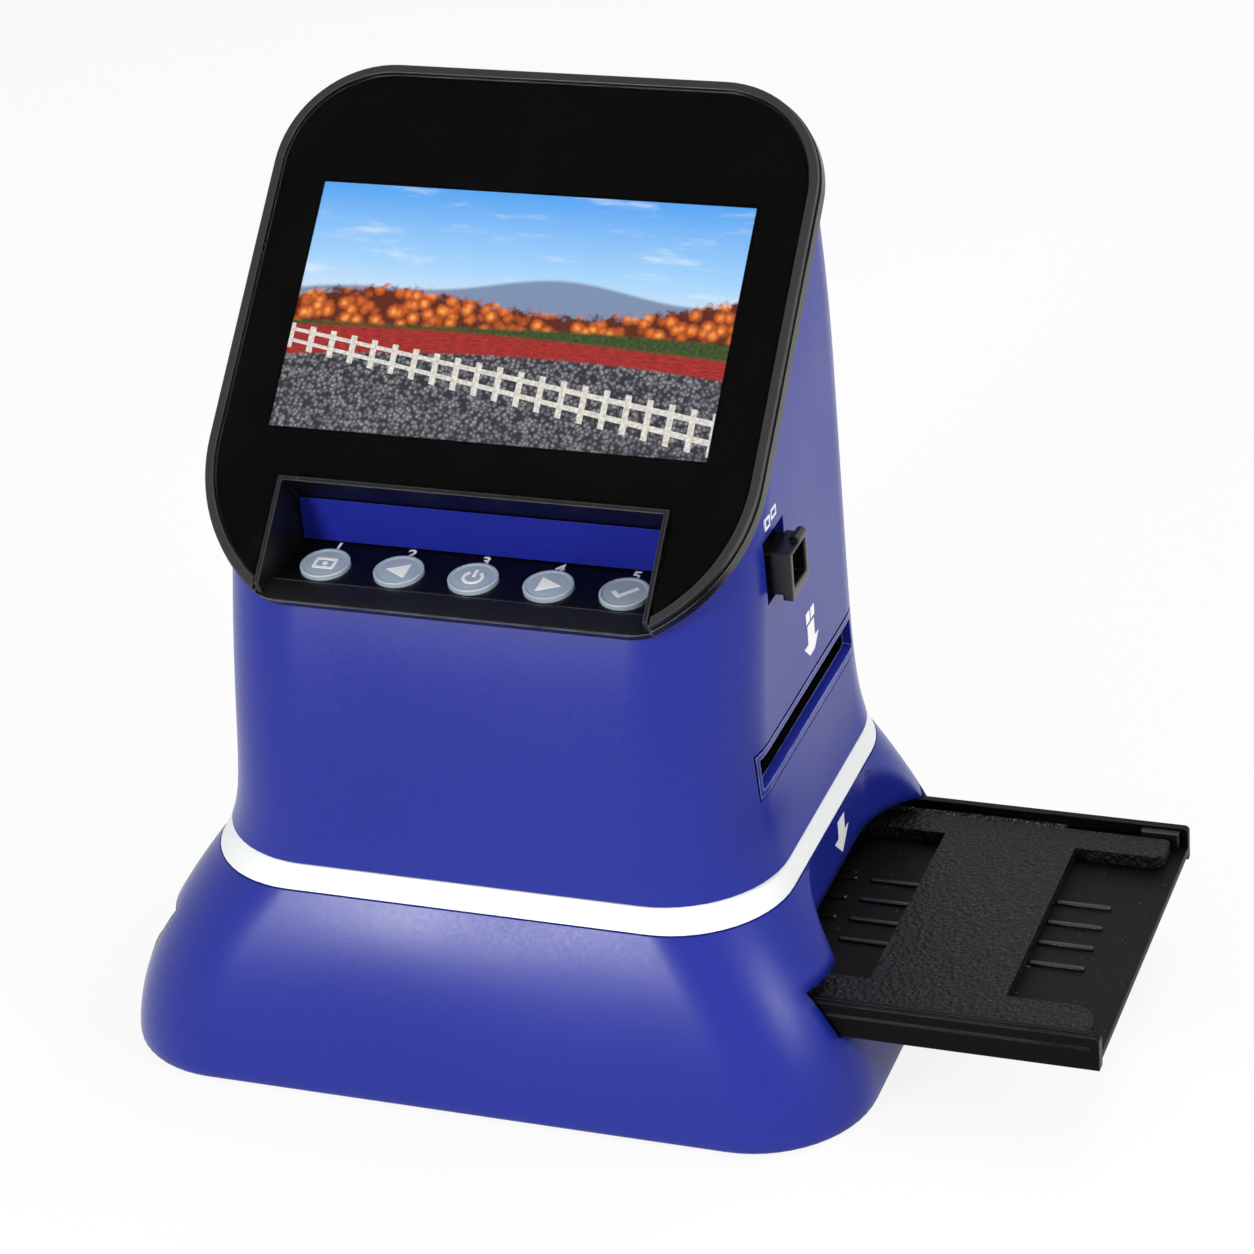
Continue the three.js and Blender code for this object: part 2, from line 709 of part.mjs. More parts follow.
function rearCollar() {
  const plate = prism(headOutline(-collarProud), [headBack, collarFace]);
  const frameSeat = prism(headOutline(frameStep - seam), [-(frameDepth + seam), overrun]);
  const window = block(
    [-collarWindowHalfWidth, collarWindowHalfWidth], [-collarWindowBottom, collarWindowTop],
    [-overrun, overrun],
  );
  const lipEdges = [
    [collarFoot.y - overrun, lipHeightAt(collarFoot.y - overrun)],
    [collarFoot.y - overrun, collarFoot.z],
    [collarFoot.y, collarFoot.z],
    [lipInnerY, lipInnerZ - lipThickness],
    [lipInnerY, lipInnerZ],
  ].map(([y, z]) => new THREE.Vector2(y, z));
  const lip = placed(
    crossPrism(lipEdges, [-recessCutHalfWidth - bite, recessCutHalfWidth + bite]),
    placeHead.clone().invert(),
  ).intersect(prism(headOutline(-collarProud / 2), [headBack * 2, collarFace]));
  return add(cut(plate, frameSeat, window, recessCutter()), lip);
}

// Height of the deck's upper face at a depth, and the room kept free below the deck
const deckHeightAt = (y) => deckZ + (y - deckY) * Math.tan(deckTilt);
const underDeckAt = (y) => deckHeightAt(y) - deckThickness / Math.cos(deckTilt) - seam;

// Lip in front of the deck: its front edge on the collar, its rear edge at the deck
const lipFront = headPoint(0, -lipOuterDrop, collarFace);
const lipSlope = (lipInnerZ - lipFront.z) / (lipInnerY - lipFront.y);
const lipHeightAt = (y) => lipInnerZ + (y - lipInnerY) * lipSlope;
const collarFoot = headPoint(0, -lipOuterDrop, headBack);

// Ceiling and cheeks of the recess, in the scanner's frame
function recessTub() {
  const at = (v, n) => {
    const point = headPoint(0, v, n);
    return new THREE.Vector2(point.y, point.z);
  };
  const outerTop = -(recessTop - tubWall);
  const cheekFoot = at(-recessFoot, -rimDepth);
  const cheekFloor = seam * 2 - deckThickness;
  const outline = [
    at(outerTop, tubProud),
    at(-recessFoot, tubProud),
    new THREE.Vector2(cheekFoot.x, lipHeightAt(cheekFoot.x) + seam),
    new THREE.Vector2(lipInnerY + seam, lipHeightAt(lipInnerY) + seam),
    new THREE.Vector2(lipInnerY + seam, deckHeightAt(lipInnerY) + cheekFloor),
    new THREE.Vector2(cheekBackY, deckHeightAt(cheekBackY) + cheekFloor),
    new THREE.Vector2(cheekBackY, at(outerTop, -ceilingDepth).y),
    at(outerTop, -ceilingDepth),
  ];
  const inside = [
    at(-recessTop, tubProud + overrun),
    at(-recessTop - overrun, tubProud + overrun),
    at(-recessTop - overrun, -ceilingDepth - overrun),
    at(-recessTop, -ceilingDepth - overrun),
  ];
  const whole = crossPrism(outline.reverse(), [-tubHalfWidth, tubHalfWidth]);
  const cavity = crossPrism(inside.reverse(), [-recessHalfWidth, recessHalfWidth]);
  return cut(whole, cavity);
}

// Blue rear wall of the recess
function recessBack() {
  const edge = headPoint(0, -recessTop, -ceilingDepth);
  const underCeiling = (y) => edge.z - (y - edge.y) / Math.tan(headTilt) - seam * 1.5;
  const rear = recessBackY + recessBackThickness;
  const foot = deckHeightAt(rear) + seam;
  return crossPrism([
    new THREE.Vector2(recessBackY, foot),
    new THREE.Vector2(rear, foot),
    new THREE.Vector2(rear, underCeiling(rear)),
    new THREE.Vector2(recessBackY, underCeiling(recessBackY)),
  ], [-recessHalfWidth + seam, recessHalfWidth - seam]);
}

const buttonPlaces = Array.from({ length: buttonCount }, (_, index) => (
  (index - (buttonCount - 1) / 2) * buttonPitch
));
const boardTop = -(deckThickness + seam + buttonFlangeThick + buttonStemLength + switchGap + switchHeight);

function buttonDeck() {
  const plate = block(
    [-recessHalfWidth + seam, recessHalfWidth - seam], [-deckFront, deckBack], [-deckThickness, 0],
  );
  const posts = [-deckPostX, deckPostX].flatMap((x) => [deckPostFront, deckPostBack].map((y) => rod(
    deckPostRadius, [x, y], [boardTop + seam, -deckThickness / 2],
  )));
  const holes = buttonPlaces.map((x) => rod(
    buttonRadius + seam, [x, 0], [-deckThickness * 2, deckThickness],
  ));
  return cut(add(plate, ...posts), ...holes);
}

function pushButton() {
  const flangeTop = -(deckThickness + seam);
  const flangeBottom = flangeTop - buttonFlangeThick;
  const profile = [
    [0, flangeBottom - buttonStemLength],
    [buttonStemRadius, flangeBottom - buttonStemLength],
    [buttonStemRadius, flangeBottom],
    [buttonRadius + buttonFlangeWide, flangeBottom],
    [buttonRadius + buttonFlangeWide, flangeTop],
    [buttonRadius, flangeTop],
    [buttonRadius, buttonProud - buttonEdge],
    [buttonRadius - buttonEdge, buttonProud],
    [0, buttonProud],
  ].map(([x, y]) => new THREE.Vector2(x, y));
  const geometry = new THREE.LatheGeometry(profile, roundSides);
  geometry.rotateX(Math.PI / 2);
  return solid(geometry);
}

function buttonBoard() {
  const plate = block(
    [-buttonBoardHalfWidth, buttonBoardHalfWidth], [-buttonBoardFront, buttonBoardBack],
    [boardTop - boardThickness, boardTop],
  );
  const switches = buttonPlaces.map((x) => block(
    [x - switchHalfWidth, x + switchHalfWidth], [-switchHalfWidth, switchHalfWidth],
    [boardTop - boardThickness / 2, boardTop + switchHeight],
  ));
  return add(plate, ...switches);
}

// Black channel that carries film through the tower
function filmGate() {
  const inside = [slotFrontY - gateSlack, slotBackY + gateSlack];
  const body = block(
    [-skirtTopHalfWidth, skirtTopHalfWidth], [inside[0] - gateWall, inside[1] + gateWall],
    [slotBottom - gateSlack - gateWall, slotTop + gateSlack + gateWall],
  ).intersect(towerVolume(wall + seam));
  const channel = block([-overrun * 2, overrun * 2], inside, [slotBottom - gateSlack, slotTop + gateSlack]);
  const window = block(
    [-gateWindowHalfWidth, gateWindowHalfWidth],
    [inside[0] + gateWindowInset, inside[1] - gateWindowInset], [0, towerTop],
  );
  return cut(body, channel, window);
}

const wallAtKnob = towerPlan(selectorZ).halfWidth;
const shieldOuter = wallAtKnob - wall - shieldSlack;

// Selector knob with its neck through the wall and the shield plate behind the opening
function selectorKnob() {
  const around = (half, extra) => [selectorY - half - extra, selectorY + half + extra];
  const tall = (extra) => [selectorZ - knobHalfHeight - extra, selectorZ + knobHalfHeight + extra];
  const inner = wallAtKnob + seam * 2;
  const outer = knobFaceX;
  const body = block([inner, outer], around(knobHalfWidth, 0), tall(0));
  const flange = block([outer - knobFlangeDepth, outer], around(knobHalfWidth, 0), tall(knobFlange));
  const well = block([outer - knobWell, outer + overrun], around(knobHalfWidth, -knobRim), tall(-knobRim));
  const neck = block([shieldOuter - bite, inner + bite], around(knobHalfWidth, -knobNeckSlack), tall(-knobNeckSlack));
  const shield = block(
    [shieldOuter - shieldThickness, shieldOuter],
    [selectorY - knobHalfWidth - knobSlotFront - shieldLapFront, selectorY + knobHalfWidth + knobSlotBehind + shieldLap],
    tall(knobSlotAbove + shieldLap),
  ).intersect(towerVolume(wall + shieldSlack));
  return cut(add(body, flange, neck, shield), well);
}

function lensCarriage() {
  const top = carriageBottom + carriageHeight;
  const body = block([-carriageHalfWidth, carriageHalfWidth], [carriageFront, carriageBack], [carriageBottom, top]);
  const arm = block(
    [carriageHalfWidth - bite, shieldOuter - shieldThickness - seam],
    [selectorY - armHalfWidth, selectorY + armHalfWidth], [carriageBottom, top - armDrop],
  );
  const bore = rod(barrelRadius + seam, [0, 0], [0, towerTop]);
  const rodHoles = [-guideRodX, guideRodX].map((x) => rod(guideRodRadius + seam, [x, guideRodY], [0, towerTop]));
  return cut(add(body, arm), bore, ...rodHoles);
}

function lensBarrel() {
  const range = [barrelBottom, barrelBottom + barrelHeight];
  return cut(rod(barrelRadius, [0, 0], range), rod(barrelRadius - barrelWall, [0, 0], [0, towerTop]));
}

// A lens element, thick in the middle
function lensGlass() {
  const radius = barrelRadius - barrelWall - seam;
  const steps = 4;
  const half = lensThickness / 2;
  const edge = half / 3;
  const face = (side) => Array.from({ length: steps + 1 }, (_, step) => {
    const share = step / steps;
    return new THREE.Vector2(radius * share, side * (half - (half - edge) * share ** 2));
  });
  const geometry = new THREE.LatheGeometry([...face(-1), ...face(1).reverse()], roundSides);
  geometry.rotateX(Math.PI / 2);
  geometry.translate(0, 0, barrelBottom + lensRise);
  return solid(geometry);
}

function cameraBracket() {
  const back = [caseInside - seam - bracketPlate, caseInside - seam];
  const width = [-bracketHalfWidth, bracketHalfWidth];
  const spine = block(width, back, [bracketBottom, bracketTop]);
  const upper = block(width, [bracketFront, back[1]], [bracketTop - bracketPlate, bracketTop]);
  const lower = block(width, [bracketFront, back[1]], [bracketBottom, bracketBottom + bracketPlate]);
  const sensorHole = rod(bracketLensHole, [0, 0], [bracketTop - bracketPlate * 2, towerTop]);
  const lightHole = rod(bracketLightHole, [0, 0], [0, bracketBottom + bracketPlate * 2]);
  return cut(add(spine, upper, lower), sensorHole, lightHole);
}

const guideRod = (x) => rod(
  guideRodRadius, [x, guideRodY], [bracketBottom + bracketPlate + seam, bracketTop - bracketPlate - seam],
);

function sensorBoard() {
  const bottom = bracketTop + seam;
  const board = block(
    [-sensorBoardHalf, sensorBoardHalf], [-sensorBoardHalf, sensorBoardHalf], [bottom, bottom + boardThickness],
  );
  const sensor = block(
    [-sensorHalf, sensorHalf], [-sensorHalf, sensorHalf], [bottom - sensorHeight, bottom + boardThickness / 2],
  );
  return add(board, sensor);
}

function lampRing() {
  const top = bracketBottom - seam;
  const range = [top - boardThickness, top];
  return cut(rod(lampRingOuter, [0, 0], range), rod(bracketLightHole, [0, 0], [0, towerTop]));
}

const mainBoard = () => block(
  [-mainBoardHalfWidth, mainBoardHalfWidth], [mainBoardY, mainBoardY + boardThickness],
  [mainBoardBottom, mainBoardTop],
);

// A rear socket: a shell open to the back with a tongue inside
function socketShell({ x, z, halfWidth, height }) {
  const front = mainBoardY + boardThickness + seam;
  const back = caseBack - socketSunk;
  const shell = block([x - halfWidth, x + halfWidth], [front, back], [z - height / 2, z + height / 2]);
  const mouth = block(
    [x - halfWidth + socketWall, x + halfWidth - socketWall], [front + socketWall * 2, back + overrun],
    [z - height / 2 + socketWall, z + height / 2 - socketWall],
  );
  const tongue = block(
    [x - halfWidth / 2, x + halfWidth / 2], [front + socketWall, back - socketWall],
    [z - socketWall / 2, z + socketWall / 2],
  );
  return add(cut(shell, mouth), tongue);
}

function bottomCover() {
  const plate = prism(
    roundedOutline(drawnIn(skirtPlan(coverTop), wall + seam)), [coverBottom, coverTop],
  );
  const screwHoles = corners.flatMap(([sideX, sideY]) => [
    rod(screwRadius + seam, bossPlace(sideX, sideY), [0, bossTop]),
    rod(screwHeadRadius + seam, bossPlace(sideX, sideY), [0, coverBottom + screwHeadHeight + seam]),
  ]);
  const footSeats = corners.map((corner) => rod(
    footRadius + seam, footPlace(...corner), [0, coverBottom + footSunk + seam],
  ));
  return cut(plate, ...screwHoles, ...footSeats);
}

const footPlace = (sideX, sideY) => [sideX * footX, sideY > 0 ? footBackY : footFrontY];
const rubberFoot = (corner) => rod(footRadius, footPlace(...corner), [0, coverBottom + footSunk]);

function coverScrew(corner) {
  const place = bossPlace(...corner);
  const head = rod(screwHeadRadius, place, [coverBottom, coverBottom + screwHeadHeight]);
  const shank = rod(screwRadius, place, [coverBottom + screwHeadHeight / 2, coverTop + screwLength - seam]);
  return add(head, shank);
}

const lightBottom = coverTop + seam;
const lightY = [trayMidY - lightHalfLength, trayMidY + lightHalfLength];

function lightBox() {
  const box = block([-lightHalfWidth, lightHalfWidth], lightY, [lightBottom, lightBottom + lightHeight]);
  const inside = block(
    [-lightHalfWidth + lightWall, lightHalfWidth - lightWall],
    [lightY[0] + lightWall, lightY[1] - lightWall], [lightBottom + lightWall, trayTop],
  );
  return cut(box, inside);
}

function ledBoard() {
  const inset = lightWall + seam;
  const bottom = lightBottom + lightWall + seam;
  return block(
    [-lightHalfWidth + inset, lightHalfWidth - inset], [lightY[0] + inset, lightY[1] - inset],
    [bottom, bottom + boardThickness],
  );
}

function diffuser() {
  const bottom = lightBottom + lightHeight + seam;
  return block([-lightHalfWidth, lightHalfWidth], lightY, [bottom, bottom + diffuserThickness]);
}

// A rail beside the tray: a shelf under it, a wall along it and three legs to the bottom cover
function trayRail(side) {
  const trayEdge = side > 0 ? trayBackY : trayFrontY;
  const across = (from, to) => [trayEdge + side * from, trayEdge + side * to].sort((a, b) => a - b);
  const shelfTop = trayBottom - seam;
  const length = [-railHalfLength, railHalfLength];
  const wallOut = seam + railWallThickness;
  const shelf = block(length, across(-railShelfReach, wallOut + railShelfOut), [shelfTop - railShelf, shelfTop]);
  const guard = block(length, across(seam, wallOut), [shelfTop - railShelf, trayTop + railWallRise]);
  const legs = [-railLegX, 0, railLegX].map((x) => block(
    [x - railLegHalfWidth, x + railLegHalfWidth], across(-railShelfReach, wallOut),
    [coverTop + seam, shelfTop - railShelf / 2],
  ));
  return add(shelf, guard, ...legs);
}

const plateRight = trayRightEnd - plateEnd;
const plateLeft = trayLeftEnd + plateEnd;
const bandRight = plateRight - plateBandFromEnd;
const bandLeft = plateLeft + plateBandFromEnd;

function trayBody() {
  const length = [trayLeftEnd, trayRightEnd];
  const floorBottom = trayBottom + trayFloorLift;
  const floor = block(length, [trayFrontY, trayBackY], [floorBottom, trayFloorTop]);
  const frontWall = block(length, [trayFrontY, trayFrontY + trayFrontWall], [trayBottom, trayTop]);
  const backWall = block(length, [trayBackY - trayBackWall, trayBackY], [trayBottom, trayTop]);
  const outsideBands = [bandRight, bandLeft - trayRibLength];
  const insideBands = [bandRight - plateBandWidth - trayRibLength, bandLeft + plateBandWidth];
  const ribs = [...outsideBands, ...insideBands].flatMap((x) => (
    Array.from({ length: trayRibs }, (_, index) => {
      const y = trayMidY + (index - (trayRibs - 1) / 2) * trayRibPitch;
      return block(
        [x, x + trayRibLength], [y - trayRibWidth / 2, y + trayRibWidth / 2],
        [trayFloorTop - bite, trayFloorTop + trayRibHeight],
      );
    })
  ));
  return add(floor, frontWall, backWall, ...ribs);
}

function trayPlate() {
  const frontEdge = trayFrontY + trayFrontWall + seam;
  const backEdge = trayBackY - trayBackWall - plateGroove;
  const thick = [trayFloorTop + seam, trayFloorTop + seam + plateThickness];
  const middle = (plateLeft + plateRight) / 2;
  const outline = roundedOutline({
    halfWidth: (plateRight - plateLeft) / 2, front: -frontEdge, back: backEdge,
    frontRadius: plateEndRadius, backRadius: plateEndRadius,
  }).map((point) => point.add(new THREE.Vector2(middle, 0)));
  const windowY = [frontEdge + plateFrontRail, backEdge - plateBackRail];
  const windows = [
    [plateLeft - overrun, bandLeft],
    [bandLeft + plateBandWidth, bandRight - plateBandWidth],
    [bandRight, plateRight + overrun],
  ].map((range) => block(range, windowY, [0, towerBottom]));
  return cut(prism(outline, thick), ...windows);
}

// Builds the assembly: each piece is its own named mesh
const scanner = new THREE.Group();
const head = new THREE.Group();
head.position.set(0, headCentreY, headCentreZ);
head.rotation.x = headTilt;
const deck = new THREE.Group();
deck.position.set(0, deckY, deckZ);
deck.rotation.x = deckTilt;
scanner.add(head, deck);

function place(group, name, body, finish, position = [0, 0, 0]) {
  const mesh = new THREE.Mesh(geometryOf(body), materials[finish]);
  mesh.name = name;
  mesh.position.set(...position);
  group.add(mesh);
}

place(scanner, 'base_skirt', baseSkirt(), 'blue_plastic');
place(scanner, 'stripe_ring', stripeRing(), 'white_plastic');
place(scanner, 'tower_shell', towerShell(), 'blue_plastic');
place(scanner, 'bottom_cover', bottomCover(), 'black_plastic');
corners.forEach((corner, index) => {
  place(scanner, `foot_${index + 1}`, rubberFoot(corner), 'rubber');
  place(scanner, `cover_screw_${index + 1}`, coverScrew(corner), 'steel');
});

place(head, 'bezel_frame', bezelFrame(), 'black_plastic');
place(head, 'rear_collar', rearCollar(), 'black_plastic');
place(head, 'display_glass', displayGlass(), 'black_glass');
place(head, 'lcd_panel', lcdPanel(), 'steel');
place(scanner, 'recess_tub', recessTub(), 'black_plastic');
place(scanner, 'recess_back', recessBack(), 'blue_plastic');

place(deck, 'button_deck', buttonDeck(), 'dark_gloss');
place(deck, 'button_board', buttonBoard(), 'circuit_green');
buttonPlaces.forEach((x, index) => {
  place(deck, `button_${index + 1}`, pushButton(), 'button_silver', [x, 0, 0]);
});

place(scanner, 'film_gate', filmGate(), 'black_plastic');
place(scanner, 'selector_knob', selectorKnob(), 'black_plastic');
place(scanner, 'lens_carriage', lensCarriage(), 'black_plastic');
place(scanner, 'lens_barrel', lensBarrel(), 'black_plastic');
place(scanner, 'lens_glass', lensGlass(), 'clear_lens');
place(scanner, 'camera_bracket', cameraBracket(), 'black_plastic');
place(scanner, 'guide_rod_left', guideRod(-guideRodX), 'steel');
place(scanner, 'guide_rod_right', guideRod(guideRodX), 'steel');
place(scanner, 'sensor_board', sensorBoard(), 'circuit_green');
place(scanner, 'lamp_ring', lampRing(), 'circuit_green');
place(scanner, 'main_board', mainBoard(), 'circuit_green');
sockets.forEach((socket) => place(scanner, socket.name, socketShell(socket), 'steel'));

place(scanner, 'light_box', lightBox(), 'white_plastic');
place(scanner, 'led_board', ledBoard(), 'circuit_green');
place(scanner, 'diffuser', diffuser(), 'white_plastic');
place(scanner, 'tray_rail_front', trayRail(-1), 'black_plastic');
place(scanner, 'tray_rail_back', trayRail(1), 'black_plastic');
place(scanner, 'tray_body', trayBody(), 'black_plastic');
place(scanner, 'tray_plate', trayPlate(), 'black_texture');

export default scanner;
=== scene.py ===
# %% [markdown]
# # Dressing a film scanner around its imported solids
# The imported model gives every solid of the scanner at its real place, in metres. This lesson builds
# the parts that a viewer sees again with finer shapes and real finishes, and hangs each one on the
# same moving body as the solid that it stands for. Lengths are written in millimetres, because that
# is how a product drawing gives them, and are turned into metres where Blender is called.

# %% Load the frame
import math
import bmesh
import bpy
from mathutils import Matrix, Vector


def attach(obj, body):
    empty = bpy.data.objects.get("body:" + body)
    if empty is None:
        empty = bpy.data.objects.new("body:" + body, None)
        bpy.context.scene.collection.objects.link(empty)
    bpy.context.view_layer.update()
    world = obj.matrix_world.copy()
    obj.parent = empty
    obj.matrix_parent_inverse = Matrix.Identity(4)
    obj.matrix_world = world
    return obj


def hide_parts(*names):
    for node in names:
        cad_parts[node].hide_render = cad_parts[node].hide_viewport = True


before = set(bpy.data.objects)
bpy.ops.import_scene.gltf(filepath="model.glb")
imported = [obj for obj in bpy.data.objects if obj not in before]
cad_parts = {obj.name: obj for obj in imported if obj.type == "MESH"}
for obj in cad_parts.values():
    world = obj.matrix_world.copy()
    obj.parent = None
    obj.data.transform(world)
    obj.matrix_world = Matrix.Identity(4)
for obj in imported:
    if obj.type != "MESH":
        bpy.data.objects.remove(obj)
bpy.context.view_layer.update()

MM = 0.001
print("solids:", len(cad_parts))

# %% [markdown]
# ## Small helpers for working by hand
# Everything is modelled as it would be at the screen: add a primitive, go into edit mode, pick some
# faces or edges, and run an operator. The same meshes could be written as lists of points, but then
# nobody could follow how a shape came about. Operators act on whatever is selected, so each helper
# first clears the selection and says exactly what it works on.

# %% Selection helpers
def nothing_selected():
    if bpy.context.object and bpy.context.object.mode != "OBJECT":
        bpy.ops.object.mode_set(mode="OBJECT")
    bpy.ops.object.select_all(action="DESELECT")


def hold(first, *others):
    nothing_selected()
    for piece in (first, *others):
        piece.select_set(True)
    bpy.context.view_layer.objects.active = first
    return first


def edit(piece, kind="VERT"):
    hold(piece)
    bpy.ops.object.mode_set(mode="EDIT")
    bpy.ops.mesh.select_mode(type=kind)


def pick(piece, test, kind="verts"):
    """In edit mode, selects the vertices, edges or faces that pass a test."""
    mesh = bmesh.from_edit_mesh(piece.data)
    for part in (*mesh.faces, *mesh.edges, *mesh.verts):
        part.select = False
    chosen = [part for part in getattr(mesh, kind) if test(part)]
    for part in chosen:
        part.select_set(True)
    bmesh.update_edit_mesh(piece.data)
    return len(chosen)


def settle(piece):
    """Applies the object's own place and turn, so that they are in the mesh."""
    hold(piece)
    bpy.ops.object.transform_apply(location=True, rotation=True, scale=True)
    return piece


def outward(piece):
    edit(piece)
    bpy.ops.mesh.select_all(action="SELECT")
    bpy.ops.mesh.remove_doubles(threshold=0.002 * MM)
    bpy.ops.mesh.normals_make_consistent(inside=False)
    nothing_selected()
    return piece


# %% [markdown]
# ## Blocks, traced plates and rods
# Moulded parts are mostly flat outlines with a thickness. A straight box starts as a cube. An outline
# with round corners could be a curve, but a curve needs converting and leaves its points where it
# likes. Here it is traced: one vertex is extruded along each straight run and spun around each corner,
# then the outline is filled and extruded, so that every arc has exactly the steps it was given.

# %% Box, trace, prism and rod
def block(low, high):
    nothing_selected()
    bpy.ops.mesh.primitive_cube_add(size=1, location=[(a + b) / 2 * MM for a, b in zip(low, high)])
    piece = bpy.context.object
    piece.scale = [(b - a) * MM for a, b in zip(low, high)]
    return settle(piece)


def turned(point, centre, degrees):
    angle = math.radians(degrees)
    x, y = point[0] - centre[0], point[1] - centre[1]
    return (centre[0] + x * math.cos(angle) - y * math.sin(angle),
            centre[1] + x * math.sin(angle) + y * math.cos(angle))


def trace(start, moves, level=0.0):
    """A flat face: a move is a point to run to, or (centre x, centre y, degrees, steps) to spin."""
    nothing_selected()
    bpy.ops.mesh.primitive_plane_add(size=MM, location=(start[0] * MM, start[1] * MM, level * MM))
    piece = settle(bpy.context.object)
    edit(piece)
    bpy.ops.mesh.select_all(action="SELECT")
    bpy.ops.mesh.merge(type="CENTER")
    here = start
    for move in moves:
        if len(move) == 2:
            run = ((move[0] - here[0]) * MM, (move[1] - here[1]) * MM, 0)
            bpy.ops.mesh.extrude_region_move(TRANSFORM_OT_translate={"value": run})
            here = move
        else:
            centre_x, centre_y, degrees, steps = move
            bpy.ops.mesh.spin(steps=steps, angle=-math.radians(degrees), axis=(0, 0, 1),
                              center=(centre_x * MM, centre_y * MM, level * MM))
            here = turned(here, (centre_x, centre_y), degrees)
    bpy.ops.mesh.select_all(action="SELECT")
    bpy.ops.mesh.remove_doubles(threshold=0.01 * MM)
    bpy.ops.mesh.edge_face_add()
    nothing_selected()
    return piece


def raised(piece, height):
    edit(piece, "FACE")
    bpy.ops.mesh.select_all(action="SELECT")
    bpy.ops.mesh.extrude_region_move(TRANSFORM_OT_translate={"value": (0, 0, height * MM)})
    return outward(piece)


def rounded_plate(low, high, radius, steps=6):
    """A box with upright round corners."""
    (x0, y0, z0), (x1, y1, z1) = low, high
    face = trace((x0 + radius, y0), [
        (x1 - radius, y0), (x1 - radius, y0 + radius, 90, steps),
        (x1, y1 - radius), (x1 - radius, y1 - radius, 90, steps),
        (x0 + radius, y1), (x0 + radius, y1 - radius, 90, steps),
        (x0, y0 + radius), (x0 + radius, y0 + radius, 90, steps),
    ], z0)
    return raised(face, z1 - z0)


def rod(radius, centre, low, high, sides=48):
    """An upright round bar over a centre, from one height to another."""
    nothing_selected()
    bpy.ops.mesh.primitive_cylinder_add(vertices=sides, radius=radius * MM, depth=(high - low) * MM,
                                        location=(centre[0] * MM, centre[1] * MM, (low + high) / 2 * MM))
    return settle(bpy.context.object)


# %% [markdown]
# ## Cutting, joining and rounding
# A slot or a window is carved with a Boolean modifier. It could be built into the mesh by hand, but a
# carved opening is easy to move later. A mould never leaves a knife edge, so each piece ends with a
# small bevel, and the bevel is what catches the light in a thin line.

# %% Carve, join, bevel, finish
def carve(piece, *tools, mode="DIFFERENCE"):
    for tool in tools:
        modifier = piece.modifiers.new("carve", "BOOLEAN")
        modifier.object = tool
        modifier.operation = mode
        modifier.solver = "EXACT"
        hold(piece)
        bpy.ops.object.modifier_apply(modifier=modifier.name)
        bpy.data.objects.remove(tool)
    return piece


def fuse(piece, *others):
    return carve(piece, *others, mode="UNION")


def joined(first, *others):
    """Puts separate shells in one object without cutting them."""
    if others:
        hold(first, *others)
        bpy.ops.object.join()
    return first


def copied(piece, offset):
    """A copy with its own mesh, moved by millimetres."""
    hold(piece)
    bpy.ops.object.duplicate()
    twin = bpy.context.object
    twin.location = Vector(offset) * MM
    return settle(twin)


def mirrored(piece):
    """A copy on the other side of the scanner's middle."""
    hold(piece)
    bpy.ops.object.duplicate()
    twin = bpy.context.object
    twin.scale = (-1, 1, 1)
    return outward(settle(twin))


def round_edges(piece, width, segments=2, angle=35):
    modifier = piece.modifiers.new("edge", "BEVEL")
    modifier.width = width * MM
    modifier.segments = segments
    modifier.limit_method = "ANGLE"
    modifier.angle_limit = math.radians(angle)
    modifier.miter_outer = "MITER_ARC"
    hold(piece)
    bpy.ops.object.modifier_apply(modifier=modifier.name)
    return piece


def soften(piece, angle=32):
    """Smooth shading up to an angle, weighted towards the large faces."""
    hold(piece)
    bpy.ops.object.shade_smooth_by_angle(angle=math.radians(angle))
    modifier = piece.modifiers.new("weighted", "WEIGHTED_NORMAL")
    modifier.keep_sharp = True
    bpy.ops.object.modifier_apply(modifier=modifier.name)
    return piece


def finished(piece, width, segments=2, angle=40):
    """The last touch of a moulding: small bevels, then smooth shading."""
    return soften(round_edges(piece, width, segments, angle))


def stand(piece, place):
    """Moves a piece that was modelled flat to its real place and tilt."""
    piece.matrix_world = place
    return settle(piece)


def done(piece, name, material, body="housing", nodes=()):
    """Names a piece, paints it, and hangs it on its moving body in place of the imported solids."""
    piece.name = name
    piece.data.name = name
    piece.data.materials.clear()
    piece.data.materials.append(material)
    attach(piece, body)
    if nodes:
        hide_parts(*nodes)
    piece.data.calc_loop_triangles()
    print(f"{name}: {len(piece.data.loop_triangles)} triangles")
    return piece


# %% [markdown]
# ## Camera
# The photograph was taken from the right, above and in front, with a long lens. A camera could be
# placed by eye, but then every part would look a little off. These values were solved from the
# straight edges of the scanner, so that the render lines up with the photograph.

# %% Photograph's camera
CAMERA_PLACE = (340.9, -785.5, 553.5)
YAW, PITCH, ROLL = (math.radians(value) for value in (21.99, 28.32, -5.073))
IMAGE_PIXELS, FOCAL_PIXELS = 1254, 3945.1
SENSOR = 36.0

